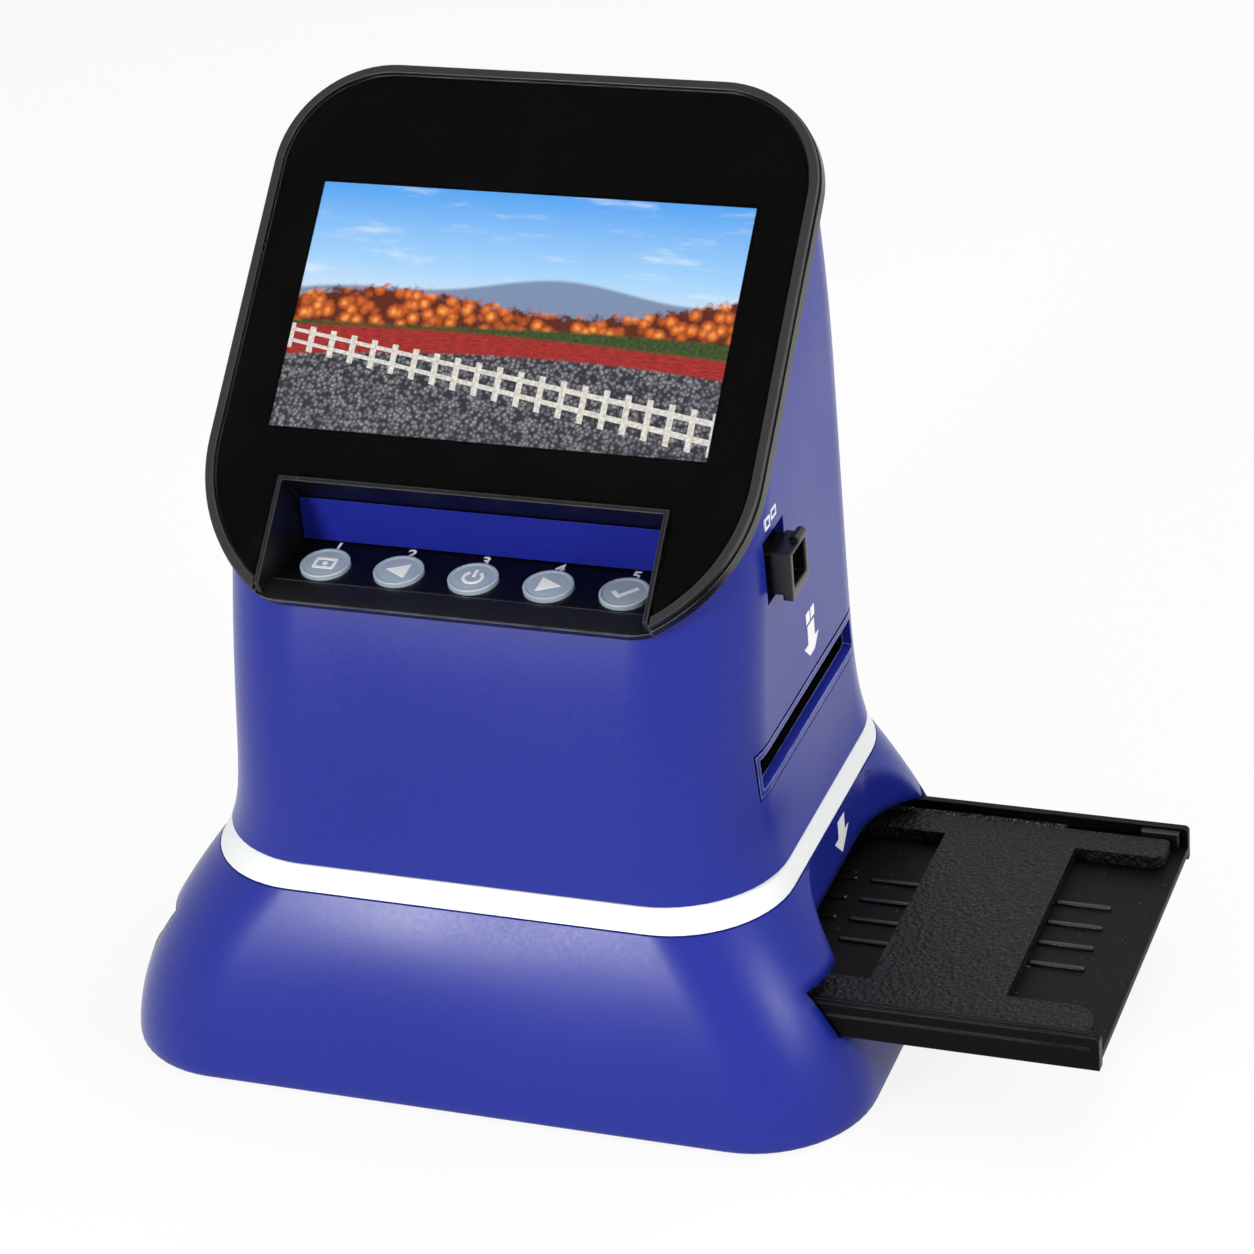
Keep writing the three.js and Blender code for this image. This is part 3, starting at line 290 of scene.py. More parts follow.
backward = Vector((math.sin(YAW) * math.cos(PITCH), -math.cos(YAW) * math.cos(PITCH), math.sin(PITCH)))
level = Vector((math.cos(YAW), math.sin(YAW), 0))
upright = level.cross(-backward)
right = math.cos(ROLL) * level + math.sin(ROLL) * upright
up = math.cos(ROLL) * upright - math.sin(ROLL) * level
camera = bpy.data.objects.new("camera", bpy.data.cameras.new("camera"))
bpy.context.scene.collection.objects.link(camera)
facing = Matrix((right, up, backward)).transposed().to_4x4()
camera.matrix_world = Matrix.Translation(Vector(CAMERA_PLACE) * MM) @ facing
camera.data.sensor_width = SENSOR
camera.data.lens = FOCAL_PIXELS / IMAGE_PIXELS * SENSOR
camera.data.clip_start = 0.01
bpy.context.scene.camera = camera
bpy.context.scene.view_settings.view_transform = "Standard"
print("lens:", round(camera.data.lens, 2), "mm")

# %% [markdown]
# ## Materials
# A plastic is never one flat colour: it has a fine grain from the mould, roughness that drifts over
# the surface, edges worn by rubbing and painted lighter as a highlight, and a little dust. Each material
# could hold its own nodes for that, but they would be copied a dozen times. Helpers that add a node with
# its values come first.

# %% Node tools
def shader(name, colour, roughness, metallic=0.0, coat=0.0, specular=0.5):
    """A material with a Principled shader, and the values that are the same all over."""
    material = bpy.data.materials.new(name)
    material.use_nodes = True
    surface = material.node_tree.nodes["Principled BSDF"]
    values = {"Base Color": linear(colour), "Roughness": roughness, "Metallic": metallic, "Coat Weight": coat,
              "Coat Roughness": 0.08, "Specular IOR Level": specular}
    for socket, value in values.items():
        surface.inputs[socket].default_value = value
    return material, surface


def linear(colour, gain=1.0):
    """A written colour, such as 2a3296, as the linear values that Blender takes, with its alpha."""
    parts = [int(colour[place:place + 2], 16) / 255 for place in (0, 2, 4)]
    parts = [part / 12.92 if part <= 0.04045 else ((part + 0.055) / 1.055) ** 2.4 for part in parts]
    return (*[part * gain for part in parts], 1)


def node(tree, kind, **values):
    """Adds a node. A value is a number or colour for a socket, or another node's output."""
    made = tree.nodes.new(kind)
    for key, value in values.items():
        if key in made.bl_rna.properties:
            setattr(made, key, value)
            continue
        socket = made.inputs[int(key[1:]) if key[1:].isdigit() else key.replace("_", " ")]
        if isinstance(value, bpy.types.NodeSocket):
            tree.links.new(value, socket)
        else:
            socket.default_value = value
    return made


def group(name, inputs, outputs):
    """An empty node group with named sockets."""
    tree = bpy.data.node_groups.new(name, "ShaderNodeTree")
    for socket, value in inputs.items():
        made = tree.interface.new_socket(socket, in_out="INPUT", socket_type="NodeSocketFloat")
        made.default_value = value
    for socket in outputs:
        tree.interface.new_socket(socket, in_out="OUTPUT", socket_type="NodeSocketFloat")
    start, end = node(tree, "NodeGroupInput"), node(tree, "NodeGroupOutput")
    return tree, start.outputs, end.inputs


# %% Sums, noise and colours
def maths(tree, operation, first, second=0.0, clamp=False):
    made = node(tree, "ShaderNodeMath", operation=operation, _0=first, _1=second, use_clamp=clamp)
    return made.outputs[0]


def product(tree, first, *others):
    for other in others:
        first = maths(tree, "MULTIPLY", first, other)
    return first


def total(tree, first, *others):
    for other in others:
        first = maths(tree, "ADD", first, other)
    return first


def object_place(tree):
    return node(tree, "ShaderNodeTexCoord").outputs["Object"]


def noise(tree, scale, detail=3.0, roughness=0.5, vector=None):
    values = dict(Scale=scale, Detail=detail, Roughness=roughness)
    if vector is not None:
        values["Vector"] = vector
    return node(tree, "ShaderNodeTexNoise", **values).outputs["Fac"]


def spot(tree, value, low, high):
    """A soft step: 0 below low, 1 above high."""
    return node(tree, "ShaderNodeMapRange", interpolation_type="SMOOTHSTEP",
                Value=value, From_Min=low, From_Max=high).outputs["Result"]


def paint(tree, under, over, where):
    """Lays one colour over another, where a mask says so. A colour is written, or a node's output."""
    under, over = [linear(colour) if isinstance(colour, str) else colour for colour in (under, over)]
    return node(tree, "ShaderNodeMix", data_type="RGBA", _0=where, _6=under, _7=over).outputs[2]


def tones(tree, value, *stops):
    """A colour ramp, given as (place, colour) pairs."""
    ramp = node(tree, "ShaderNodeValToRGB", Fac=value)
    for index, (place, colour) in enumerate(stops):
        stop = ramp.color_ramp.elements[index] if index < 2 else ramp.color_ramp.elements.new(place)
        stop.position = place
        stop.color = linear(colour)
    return ramp.outputs["Color"]


# %% [markdown]
# ## Shared effects
# The mould's grain is a noise in the height. Edges are painted lighter: partly because the skin is
# polished off there by rubbing, and partly as a painted highlight, the thin line of light that a rounded
# edge catches. The Bevel node bends the normal near an edge, and the mask is how far it bends. The mesh's
# own pointiness could give it too, but that paints clouds on large flat faces. Dust lies in specks on
# what faces up. Each effect is one node group, placed in every material with its own values.

# %% Mould grain
grain, taken, given = group("mould grain", {"Scale": 900, "Drift": 0.3}, ["Height", "Roughness Shift"])
where = object_place(grain)
fine = noise(grain, taken["Scale"], 2.0, 0.6, where)
grain.links.new(fine, given["Height"])
slow = maths(grain, "SUBTRACT", noise(grain, 14, 2.0, 0.5, where), 0.5)
quick = product(grain, maths(grain, "SUBTRACT", fine, 0.5), 0.12)
grain.links.new(total(grain, product(grain, slow, taken["Drift"]), quick), given["Roughness Shift"])
print("grain:", len(grain.nodes), "nodes")

# %% Rubbing and painted highlight on edges
# The mask of edges that are painted lighter, as a painted highlight and as rubbing; a noise breaks it up.
edge_wear_and_highlight, taken, given = group("rubbed edges and painted highlight", {"Amount": 1.0, "Radius": 0.5 * MM}, ["Mask"])
bent = node(edge_wear_and_highlight, "ShaderNodeBevel", samples=4, Radius=taken["Radius"]).outputs["Normal"]
plain = node(edge_wear_and_highlight, "ShaderNodeNewGeometry").outputs["Normal"]
alike = node(edge_wear_and_highlight, "ShaderNodeVectorMath", operation="DOT_PRODUCT", _0=bent, _1=plain).outputs["Value"]
edge = spot(edge_wear_and_highlight, maths(edge_wear_and_highlight, "SUBTRACT", 1.0, alike), 0.01, 0.16)
where = object_place(edge_wear_and_highlight)
broken = spot(edge_wear_and_highlight, noise(edge_wear_and_highlight, 60, 4.0, 0.6, where), 0.25, 0.6)
edge_wear_and_highlight.links.new(product(edge_wear_and_highlight, edge, broken, taken["Amount"]), given["Mask"])
print("rubbed edges and painted highlight:", len(edge_wear_and_highlight.nodes), "nodes")

# %% Settled dust
dust, taken, given = group("settled dust", {"Amount": 0.4, "Scale": 500}, ["Mask"])
where = object_place(dust)
specks = spot(dust, noise(dust, taken["Scale"], 2.0, 0.7, where), 0.68, 0.8)
patches = spot(dust, noise(dust, 22, 3.0, 0.5, where), 0.4, 0.75)
upward = node(dust, "ShaderNodeSeparateXYZ", Vector=node(dust, "ShaderNodeNewGeometry").outputs["Normal"])
facing = spot(dust, upward.outputs["Z"], 0.1, 1.0)
dust.links.new(product(dust, specks, patches, facing, taken["Amount"]), given["Mask"])
print("dust:", len(dust.nodes), "nodes")


# %% [markdown]
# ## Plastics
# The case is satin blue plastic, the head and the tray are black, and the buttons are silvery. They
# could be separate materials from the start, but they differ only in colour, gloss, rubbing and the
# painted highlight on their edges, so one function makes them all. edges is how strongly the edge colour,
# lighter than the base, paints that highlight along the edges. soft_edge bends the light over an edge that
# the real mould rounds more softly than the mesh does, below the height soft_below, both in millimetres.

# %% Plastic
DUST_COLOUR = (0.45, 0.45, 0.46, 1)
SOFT_FADE = 2


def effect(tree, group_tree, **values):
    """Places a shared effect in a material."""
    made = node(tree, "ShaderNodeGroup", node_tree=group_tree)
    for socket, value in values.items():
        made.inputs[socket].default_value = value
    return made.outputs


def plastic(name, colour, edge_wear_and_highlight_colour, roughness, grain_scale=900, grain_depth=0.01, drift=0.3,
            edges=0.5, dustiness=0.3, soft_edge=0.0, soft_below=0.0, **values):
    material, surface = shader(name, colour, roughness, **values)
    tree = material.node_tree
    texture = effect(tree, grain, Scale=grain_scale, Drift=drift)
    # Edges take the lighter edge colour: partly worn by rubbing, partly a painted highlight line.
    edge_wear_and_highlight_mask = effect(tree, edge_wear_and_highlight, Amount=edges)["Mask"] if edges else 0.0
    dusty = effect(tree, dust, Amount=dustiness)["Mask"]
    shade = spot(tree, noise(tree, 7, 2.0, 0.5, object_place(tree)), 0.3, 0.7)
    tone = paint(tree, linear(colour, 0.93), linear(colour, 1.05), shade)
    # Lays the edge colour, a painted highlight with rubbing, and then dust over the base tone.
    grey = paint(tree, paint(tree, tone, edge_wear_and_highlight_colour, edge_wear_and_highlight_mask), DUST_COLOUR, dusty)
    tree.links.new(grey, surface.inputs["Base Color"])
    gloss = maths(tree, "ADD", texture["Roughness Shift"], roughness, clamp=True)
    matt = maths(tree, "ADD", gloss, product(tree, dusty, 0.3), clamp=True)
    tree.links.new(matt, surface.inputs["Roughness"])
    bump = node(tree, "ShaderNodeBump", Strength=1.0, Distance=grain_depth * MM, Height=texture["Height"])
    tree.links.new(bump.outputs["Normal"], surface.inputs["Normal"])
    if soft_edge:
        up_there = node(tree, "ShaderNodeSeparateXYZ", Vector=object_place(tree)).outputs["Z"]
        too_high = spot(tree, up_there, (soft_below - SOFT_FADE) * MM, soft_below * MM)
        radius = product(tree, maths(tree, "SUBTRACT", 1.0, too_high), soft_edge * MM)
        rounded = node(tree, "ShaderNodeBevel", samples=8, Radius=radius)
        tree.links.new(rounded.outputs["Normal"], bump.inputs["Normal"])
    return material


# %% Finishes of the case and the head
# The second colour of each finish is its edge colour, lighter than the base: it paints a highlight line along
# the edges and marks where they are worn by rubbing.
SATIN = dict(roughness=0.3, grain_scale=1100, grain_depth=0.007, dustiness=0.03, specular=0.26)
SKIRT_SOFT, SKIRT_SOFT_BELOW = 4.0, 48.5
blue = plastic("blue satin moulding", "1b2789", "3a44b4", edges=0.35, **SATIN)
skirt_blue = plastic("blue satin skirt", "1b2789", "3a44b4", edges=0.0,
                     soft_edge=SKIRT_SOFT, soft_below=SKIRT_SOFT_BELOW, **SATIN)
recess_blue = plastic("blue in the recess", "1b2488", "3a44b4", 0.5, grain_scale=1100, grain_depth=0.012,
                      edges=0.35, dustiness=0.08, specular=0.05)
stripe_white = plastic("white stripe", "eceeed", "ffffff", 0.42, edges=0.2, dustiness=0.1)
rim_grey = plastic("dark grey rim", "18181a", "5a5a5c", 0.32, grain_scale=1400, grain_depth=0.02,
                   specular=0.4)
black = plastic("black moulding", "0c0c0d", "6c6c6e", 0.34, grain_scale=1300, grain_depth=0.012, edges=0.6,
                specular=0.22)
deck_gloss = plastic("dark gloss deck", "08080b", "151518", 0.3, grain_depth=0.004, drift=0.1, edges=0.0,
                     dustiness=0.15, specular=0.2)
print("finishes:", len((blue, skirt_blue, recess_blue, stripe_white, rim_grey, black, deck_gloss)))

# %% [markdown]
# ## The outline of the case at a height
# The base flares out towards the floor and the tower leans back as it rises, so no single extrusion
# makes them. They could be sculpted from a subdivided box, but then no size could be read off. Here
# each level has its own plan, a rectangle with round corners, worked out by a function of its height.

# %% Sizes and plans of the skirt and the stripe
CASE_BACK = 59.8
WALL = 2.4
GAP = 0.3
STRIPE_LOW, STRIPE_HIGH = 49.8, 54.9
SKIRT_LOW, SKIRT_HIGH = 0.8, STRIPE_LOW - GAP
PLAN = ("half_width", "front", "back", "front_radius", "back_radius")
SKIRT_TOP = dict(zip(PLAN, (74.2, 61.3, CASE_BACK, 28, 28)))
SKIRT_FOOT = dict(zip(PLAN, (96.6, 76.3, 60.8, 29, 31)))
STRIPE_TOP = dict(zip(PLAN, (71.6, 57.5, CASE_BACK, 28.4, 28.4)))
SKIRT_CURVE = 1.8


def inset_plan(plan, inset):
    return {key: value - inset for key, value in plan.items()}


def skirt_plan(z, inset=0.0):
    spread = 1 - (max(z, 0) / STRIPE_LOW) ** SKIRT_CURVE
    plan = {key: SKIRT_TOP[key] + (SKIRT_FOOT[key] - SKIRT_TOP[key]) * spread for key in PLAN}
    return inset_plan(plan, inset)


print("half width at the floor and under the stripe:", skirt_plan(0)["half_width"], SKIRT_TOP["half_width"])

# %% [markdown]
# ## Lofting rings into a skin
# A boat's hull is planked over its frames, and this case is made alike. A plane is added at each level
# and its corners are bevelled into arcs. Then each ring is bridged to the next, so that every level
# has as many points as the others, and the skin stays even where the plan changes.

# %% Ring and loft
def ring(plan, z, steps=14):
    """One level of the skin: a plane whose corners are bevelled into arcs, without its face."""
    nothing_selected()
    middle = (plan["back"] - plan["front"]) / 2
    bpy.ops.mesh.primitive_plane_add(size=1, location=(0, middle * MM, z * MM))
    outline = bpy.context.object
    outline.scale = (2 * plan["half_width"] * MM, (plan["back"] + plan["front"]) * MM, 1)
    settle(outline)
    edit(outline)
    for edge_y, radius in ((-plan["front"], plan["front_radius"]), (plan["back"], plan["back_radius"])):
        pick(outline, lambda vert: abs(vert.co.y / MM - edge_y) < 0.001)
        bpy.ops.mesh.bevel(offset_type="OFFSET", offset=radius * MM, segments=steps,
                           affect="VERTICES", clamp_overlap=False)
    bpy.ops.mesh.select_all(action="SELECT")
    bpy.ops.mesh.delete(type="ONLY_FACE")
    nothing_selected()
    return outline


def loft(levels):
    """Bridges rings given as (plan, height), lowest first, and caps both ends."""
    body = joined(*[ring(plan, z) for plan, z in levels])
    heights = [z for _, z in levels]
    edit(body, "EDGE")

    def lies_on(edge, *wanted):
        levels_met = {min(wanted, key=lambda z: abs(vert.co.z / MM - z)) for vert in edge.verts
                      if min(abs(vert.co.z / MM - z) for z in wanted) < 0.001}
        return len(levels_met) == 1 and all(
            min(abs(vert.co.z / MM - z) for z in wanted) < 0.001 for vert in edge.verts)

    for low, high in zip(heights, heights[1:]):
        pick(body, lambda edge: lies_on(edge, low, high), "edges")
        bpy.ops.mesh.bridge_edge_loops()
    for end in (heights[0], heights[-1]):
        pick(body, lambda edge: lies_on(edge, end), "edges")
        bpy.ops.mesh.edge_face_add()
    return outward(body)


def spaced(low, high, count):
    return [low + (high - low) * index / (count - 1) for index in range(count)]


# %% [markdown]
# ## Base skirt
# The lower half of the case is one blue moulding that flares from the stripe down to the floor. A real
# one is drawn in a little at its foot, so that no sharp edge meets the table. A bevel could do that,
# but the foot's edge is one ring of the loft anyway, so a few rings on a quarter circle are exact.

# %% Skirt's outer skin
FOOT_ROUNDING = 1.2
levels = []
for turn in (0, 22.5, 45, 67.5, 90):
    z = SKIRT_LOW + FOOT_ROUNDING * (1 - math.cos(math.radians(turn)))
    levels.append((skirt_plan(z, FOOT_ROUNDING * (1 - math.sin(math.radians(turn)))), z))
levels += [(skirt_plan(z), z) for z in spaced(SKIRT_LOW + FOOT_ROUNDING, SKIRT_HIGH, 24)[1:]]
skirt = loft(levels)
print("levels of the skirt:", len(levels))

# %% [markdown]
# ## Hollows beside the tray
# A hollow on each side gives fingers room at the tray. It meets the flared side in a soft rim, as a
# mould for thick plastic leaves it. A Subdivision Surface would soften everything else too, so the
# rim's edges are picked by their place and angle and bevelled. The carving leaves points there that
# lie closer than the bevel is wide, and they would hold it back, so they are merged first.

# %% Hollow and its rim
POCKET_FACE, POCKET_STRAIGHT, POCKET_RADIUS, POCKET_TOP = 74, 17, 27, 70
RIM_ANGLE, RIM_MERGE, RIM_ROUNDING = math.radians(14), 0.5, 2.5
TRAY_SLOT_Z, TRAY_SLOT_Y = (21.5, 33.7), (-53.4, 44.4)
FAR = 140


def pocket_tool(depth):
    """The space beside the tray, drawn deeper into the case by a wall's thickness."""
    face, low = POCKET_FACE - depth, TRAY_SLOT_Z[1]
    reach = POCKET_STRAIGHT + POCKET_RADIUS + depth
    middle = POCKET_FACE + POCKET_RADIUS
    outline = trace((face, POCKET_STRAIGHT), [
        (face, -POCKET_STRAIGHT), (middle, -POCKET_STRAIGHT, 90, 20), (FAR, -reach), (FAR, reach),
        (middle, reach), (middle, POCKET_STRAIGHT, 90, 20),
    ], low)
    return raised(outline, POCKET_TOP - low)


def on_pocket_rim(edge):
    """An edge where a pocket meets the flared side, above its floor and below the stripe."""
    heights = [vert.co.z / MM for vert in edge.verts]
    return (min(heights) > TRAY_SLOT_Z[1] - 0.1 and max(heights) < SKIRT_HIGH - 0.1
            and min(abs(vert.co.x) / MM for vert in edge.verts) > POCKET_FACE - 0.1
            and edge.calc_face_angle(0) > RIM_ANGLE)


hollow = pocket_tool(0)
carve(skirt, mirrored(hollow), hollow)
edit(skirt, "EDGE")
pick(skirt, on_pocket_rim, "edges")
bpy.ops.mesh.remove_doubles(threshold=RIM_MERGE * MM)
print("rounded rim edges:", pick(skirt, on_pocket_rim, "edges"))
bpy.ops.mesh.bevel(offset=RIM_ROUNDING * MM, segments=4, clamp_overlap=True)
nothing_selected()

# %% [markdown]
# ## Wall of the skirt
# The tray's slot shows how thick the moulding is. Solidify would fold over itself in the tight corners
# of the hollows, so a smaller loft is carved out of the larger one, with the hollows kept clear of it.

# %% Skirt's wall and tray slot
inside = [(skirt_plan(0, WALL), -4)] + [(skirt_plan(z, WALL), z) for z in spaced(SKIRT_LOW, SKIRT_HIGH, 12)]
cavity = loft(inside + [(skirt_plan(SKIRT_HIGH, WALL), SKIRT_HIGH + 4)])
backed = pocket_tool(WALL)
carve(cavity, mirrored(backed), backed)
slot = block((POCKET_FACE - 2 * WALL, TRAY_SLOT_Y[0], TRAY_SLOT_Z[0]), (FAR, TRAY_SLOT_Y[1], TRAY_SLOT_Z[1]))
carve(skirt, cavity, mirrored(slot), slot)
finished(skirt, 0.7, 3, 40)
done(skirt, "skirt_case", skirt_blue, nodes=["base_skirt"])

# %% [markdown]
# ## White stripe
# A separate pale ring is clamped between the two blue mouldings. It could be painted on, but the
# photograph shows a thin dark line above and below it. Those lines are joints, so the ring is a piece
# of its own, with real gaps of 0.3 mm.

# %% Stripe
stripe = loft([(skirt_plan(STRIPE_LOW), STRIPE_LOW), (STRIPE_TOP, STRIPE_HIGH)])
inner_top = inset_plan(STRIPE_TOP, WALL)
hole = loft([(skirt_plan(STRIPE_LOW, WALL), STRIPE_LOW - 0.5), (inner_top, STRIPE_HIGH + 0.5)])
carve(stripe, hole)
finished(stripe, 0.25, 2, 50)
done(stripe, "stripe_band", stripe_white, nodes=["stripe_ring"])

# %% [markdown]
# ## The head's own frame
# Screen, rim and collar are flat mouldings on one tilted plane. They could be traced in their tilted
# place, with a sine in every number. They are modelled lying flat instead, where straight edges are
# easy to trace, and then stood on the tower with a single turn.

# %% Head frame and outline
HEAD_CENTRE = (0, 1.7, 177.5)
TILT = math.radians(43.1)
HEAD = Matrix.Translation(Vector(HEAD_CENTRE) * MM) @ Matrix.Rotation(TILT, 4, "X")
HEAD_BACK = -5.5
HALF_WIDTH, TOP, TOP_RADIUS = 69.45, 63.5, 27.5
SIDE_RADIUS, SIDE_DROP, SIDE_TURN, TOE_RADIUS = 44, -36.5, 56, 12
SIDE_X = HALF_WIDTH - SIDE_RADIUS
TOE_X, TOE_DROP = turned((SIDE_X + SIDE_RADIUS - TOE_RADIUS, SIDE_DROP), (SIDE_X, SIDE_DROP), -SIDE_TURN)
ALONG_X = Matrix(((0, 0, 1, 0), (1, 0, 0, 0), (0, 1, 0, 0), (0, 0, 0, 1)))
ALONG_Y = Matrix(((0, 1, 0, 0), (0, 0, 1, 0), (1, 0, 0, 0), (0, 0, 0, 1)))


def head_point(v, n):
    """A point on the middle line of the head, as (y, z) in the scanner's frame."""
    return (HEAD_CENTRE[1] + v * math.cos(TILT) - n * math.sin(TILT),
            HEAD_CENTRE[2] + v * math.sin(TILT) + n * math.cos(TILT))


def head_plate(inset, low, high):
    """The head's outline, drawn in by an inset, from one depth to another."""
    bottom, side, crown = TOE_DROP - TOE_RADIUS + inset, HALF_WIDTH - inset, TOP - inset
    corner_x, corner_y = HALF_WIDTH - TOP_RADIUS, TOP - TOP_RADIUS
    outline = trace((-TOE_X, bottom), [
        (TOE_X, bottom), (TOE_X, TOE_DROP, 90 - SIDE_TURN, 7), (SIDE_X, SIDE_DROP, SIDE_TURN, 16),
        (side, corner_y), (corner_x, corner_y, 90, 18), (-corner_x, crown),
        (-corner_x, corner_y, 90, 18), (-side, SIDE_DROP), (-SIDE_X, SIDE_DROP, SIDE_TURN, 16),
        (-TOE_X, TOE_DROP, 90 - SIDE_TURN, 7),
    ], low)
    return raised(outline, high - low)


def cross_prism(points, x_from, x_to):
    """A bar along X over an outline given as (y, z)."""
    bar = raised(trace(points[0], points[1:], x_from), x_to - x_from)
    return outward(stand(bar, ALONG_X))


print("head tilt:", round(math.degrees(TILT), 1), "degrees")

# %% [markdown]
# ## Where the buttons stand
# The tower has an opening for the button recess, so the heights of the deck and of the lip in front
# of it are needed before either is made. They are lines in the side view, given by one point and a
# slope, and each piece asks them for its height instead of repeating a number.

# %% Deck and lip heights
DECK_Y, DECK_Z, DECK_TILT = -34.9, 125.7, math.radians(5.5)
DECK = Matrix.Translation(Vector((0, DECK_Y, DECK_Z)) * MM) @ Matrix.Rotation(DECK_TILT, 4, "X")
DECK_THICK = 1.4
LIP_DROP, LIP_FRONT_DEPTH = 74.8, -2.3
LIP_IN_Y, LIP_IN_Z, LIP_THICK = -42, 125.1, 1.8
CHEEK_BACK = -23.2
RECESS_HALF, TUB_WALL = 48.1, 1.2
RECESS_CUT = RECESS_HALF + TUB_WALL + GAP
lip_front, collar_foot = head_point(-LIP_DROP, LIP_FRONT_DEPTH), head_point(-LIP_DROP, HEAD_BACK)


def deck_height(y):
    return DECK_Z + (y - DECK_Y) * math.tan(DECK_TILT)


def under_deck(y):
    return deck_height(y) - DECK_THICK / math.cos(DECK_TILT) - GAP


def lip_height(y):
    return LIP_IN_Z + (y - LIP_IN_Y) * (LIP_IN_Z - lip_front[1]) / (LIP_IN_Y - lip_front[0])


print("deck, lip:", round(deck_height(CHEEK_BACK), 1), round(lip_height(LIP_IN_Y), 1))

# %% [markdown]
# ## Tower
# The upper half of the case flares a little where it meets the stripe, leans back in a long curve and
# ends in a round crown. It could be built in its final form, with the slope for the head in it, but a
# slanted end spoils the levels. So it is lofted as a full block and sliced off with bisect.

# %% Plan of the tower
TOWER_LOW, TOWER_HIGH = STRIPE_HIGH + GAP, 212.5
TOWER_HALF, TAPER, CROWN = 66.9, 1, 8
FLARE_LENGTH, FLARE_OUT, FLARE_ROUND = 9, 4.3, 4.9
LEAN_HEIGHT, LEAN_BACK, LEAN_CURVE = 74, 14.2, 1.78
ROLL_HEIGHT, ROLL_IN = 62, 3.2
LEAST_DEPTH = 51.5
FRONT_RADIUS, FRONT_RADIUS_LOSS, BACK_RADIUS = 28, 2, 23.5


def tower_plan(z, inset=0.0):
    rise = max(z, STRIPE_HIGH) - STRIPE_HIGH
    flare = math.exp(-rise / FLARE_LENGTH)
    over = min(max(0, z - TOWER_HIGH + CROWN), CROWN)
    rounded = CROWN - math.sqrt(CROWN ** 2 - over ** 2)
    rolled = max(0, 1 - (TOWER_HIGH - z) / ROLL_HEIGHT)
    back = CASE_BACK - rounded
    lean = LEAN_BACK * (rise / LEAN_HEIGHT) ** LEAN_CURVE
    return inset_plan({
        "half_width": (TOWER_HALF + FLARE_OUT * flare + TAPER - TAPER * rise / (TOWER_HIGH - STRIPE_HIGH)
                       - ROLL_IN * rolled ** 2 - rounded),
        "front": max(STRIPE_TOP["front"] - lean, LEAST_DEPTH - back),
        "back": back,
        "front_radius": FRONT_RADIUS - FRONT_RADIUS_LOSS * min(1, rise / LEAN_HEIGHT),
        "back_radius": BACK_RADIUS + FLARE_ROUND * flare,
    }, inset)


# %% Tower skin
flare = [TOWER_LOW + 18 * share for share in (0, 0.06, 0.12, 0.2, 0.3, 0.42, 0.56, 0.76)]
middle = spaced(TOWER_LOW + 18, TOWER_HIGH - CROWN, 24)
crown = [TOWER_HIGH - CROWN + CROWN * math.sin(math.radians(turn)) for turn in (18, 36, 54, 72, 90)]
tower = loft([(tower_plan(z), z) for z in flare + middle + crown])
edit(tower)
bpy.ops.mesh.select_all(action="SELECT")
cut_y, cut_z = head_point(0, HEAD_BACK - GAP)
bpy.ops.mesh.bisect(plane_co=(0, cut_y * MM, cut_z * MM), use_fill=True, clear_outer=True,
                    plane_no=(0, -math.sin(TILT), math.cos(TILT)))
outward(tower)
print("tower levels:", len(flare + middle + crown))

# %% [markdown]
# ## Film slot and its border
# Film passes through the tower from side to side. Around each mouth lies a flat border, with a fine
# groove between it and the wall. A bar carved straight through would give the groove a different depth
# all along the curved wall. So the bar's frame is first cut down to a thin shell of the tower itself,
# and what is left follows the wall.

# %% Groove round the slot
SLOT_Y, SLOT_Z = (-32.8, 39.5), (75.8, 83.4)
BORDER_ABOVE, BORDER_BELOW, BORDER_PROUD = 1.5, 2.1, 0.12
GROOVE, GROOVE_DEEP = 0.6, 1.0
SLOT_LEVELS, WIDER_LEVELS = (70, 74, 78, 82, 86, 90), (69, 74, 78, 82, 86, 91)
TOOL_REACH = FAR + 9


def around_slot(above, below, reach=FAR):
    """A bar through both film slots, larger than the opening by the given margins."""
    low, high = (-reach, SLOT_Y[0] - above, SLOT_Z[0] - below), (reach, SLOT_Y[1] + above, SLOT_Z[1] + above)
    return block(low, high)


def skin(outside, inside):
    """The part of the tower's wall near the slots, from one depth to another."""
    shell = loft([(tower_plan(z, outside), z) for z in SLOT_LEVELS])
    return carve(shell, loft([(tower_plan(z, inside), z) for z in WIDER_LEVELS]))


ring_bar = around_slot(BORDER_ABOVE + GROOVE, BORDER_BELOW + GROOVE)
carve(ring_bar, around_slot(BORDER_ABOVE, BORDER_BELOW, TOOL_REACH))
groove = carve(skin(-1, GROOVE_DEEP), ring_bar, mode="INTERSECT")
carve(tower, groove, around_slot(0.8, 0.8))
print("groove:", GROOVE, "mm wide,", GROOVE_DEEP, "mm deep")

# %% Border with its sloping sill
SILL_INNER, SILL_DROP, SILL_DEPTH, SILL_CLEAR = 65.2, 0.6, 4.2, 1
sill_low, sill_high = SLOT_Z[0] - SILL_DROP, SLOT_Z[0] + SILL_CLEAR
sill = trace((SLOT_Z[0], SILL_INNER), [(sill_low, SILL_INNER + SILL_DEPTH), (sill_low, FAR), (sill_high, FAR),
                                       (sill_high, SILL_INNER)], SLOT_Y[0])
outward(stand(raised(sill, SLOT_Y[1] - SLOT_Y[0]), ALONG_Y))
border = carve(skin(-BORDER_PROUD, WALL), around_slot(BORDER_ABOVE, BORDER_BELOW), mode="INTERSECT")
carve(border, around_slot(0, 0, TOOL_REACH), mirrored(sill), sill)
finished(border, 0.4, 3, 50)
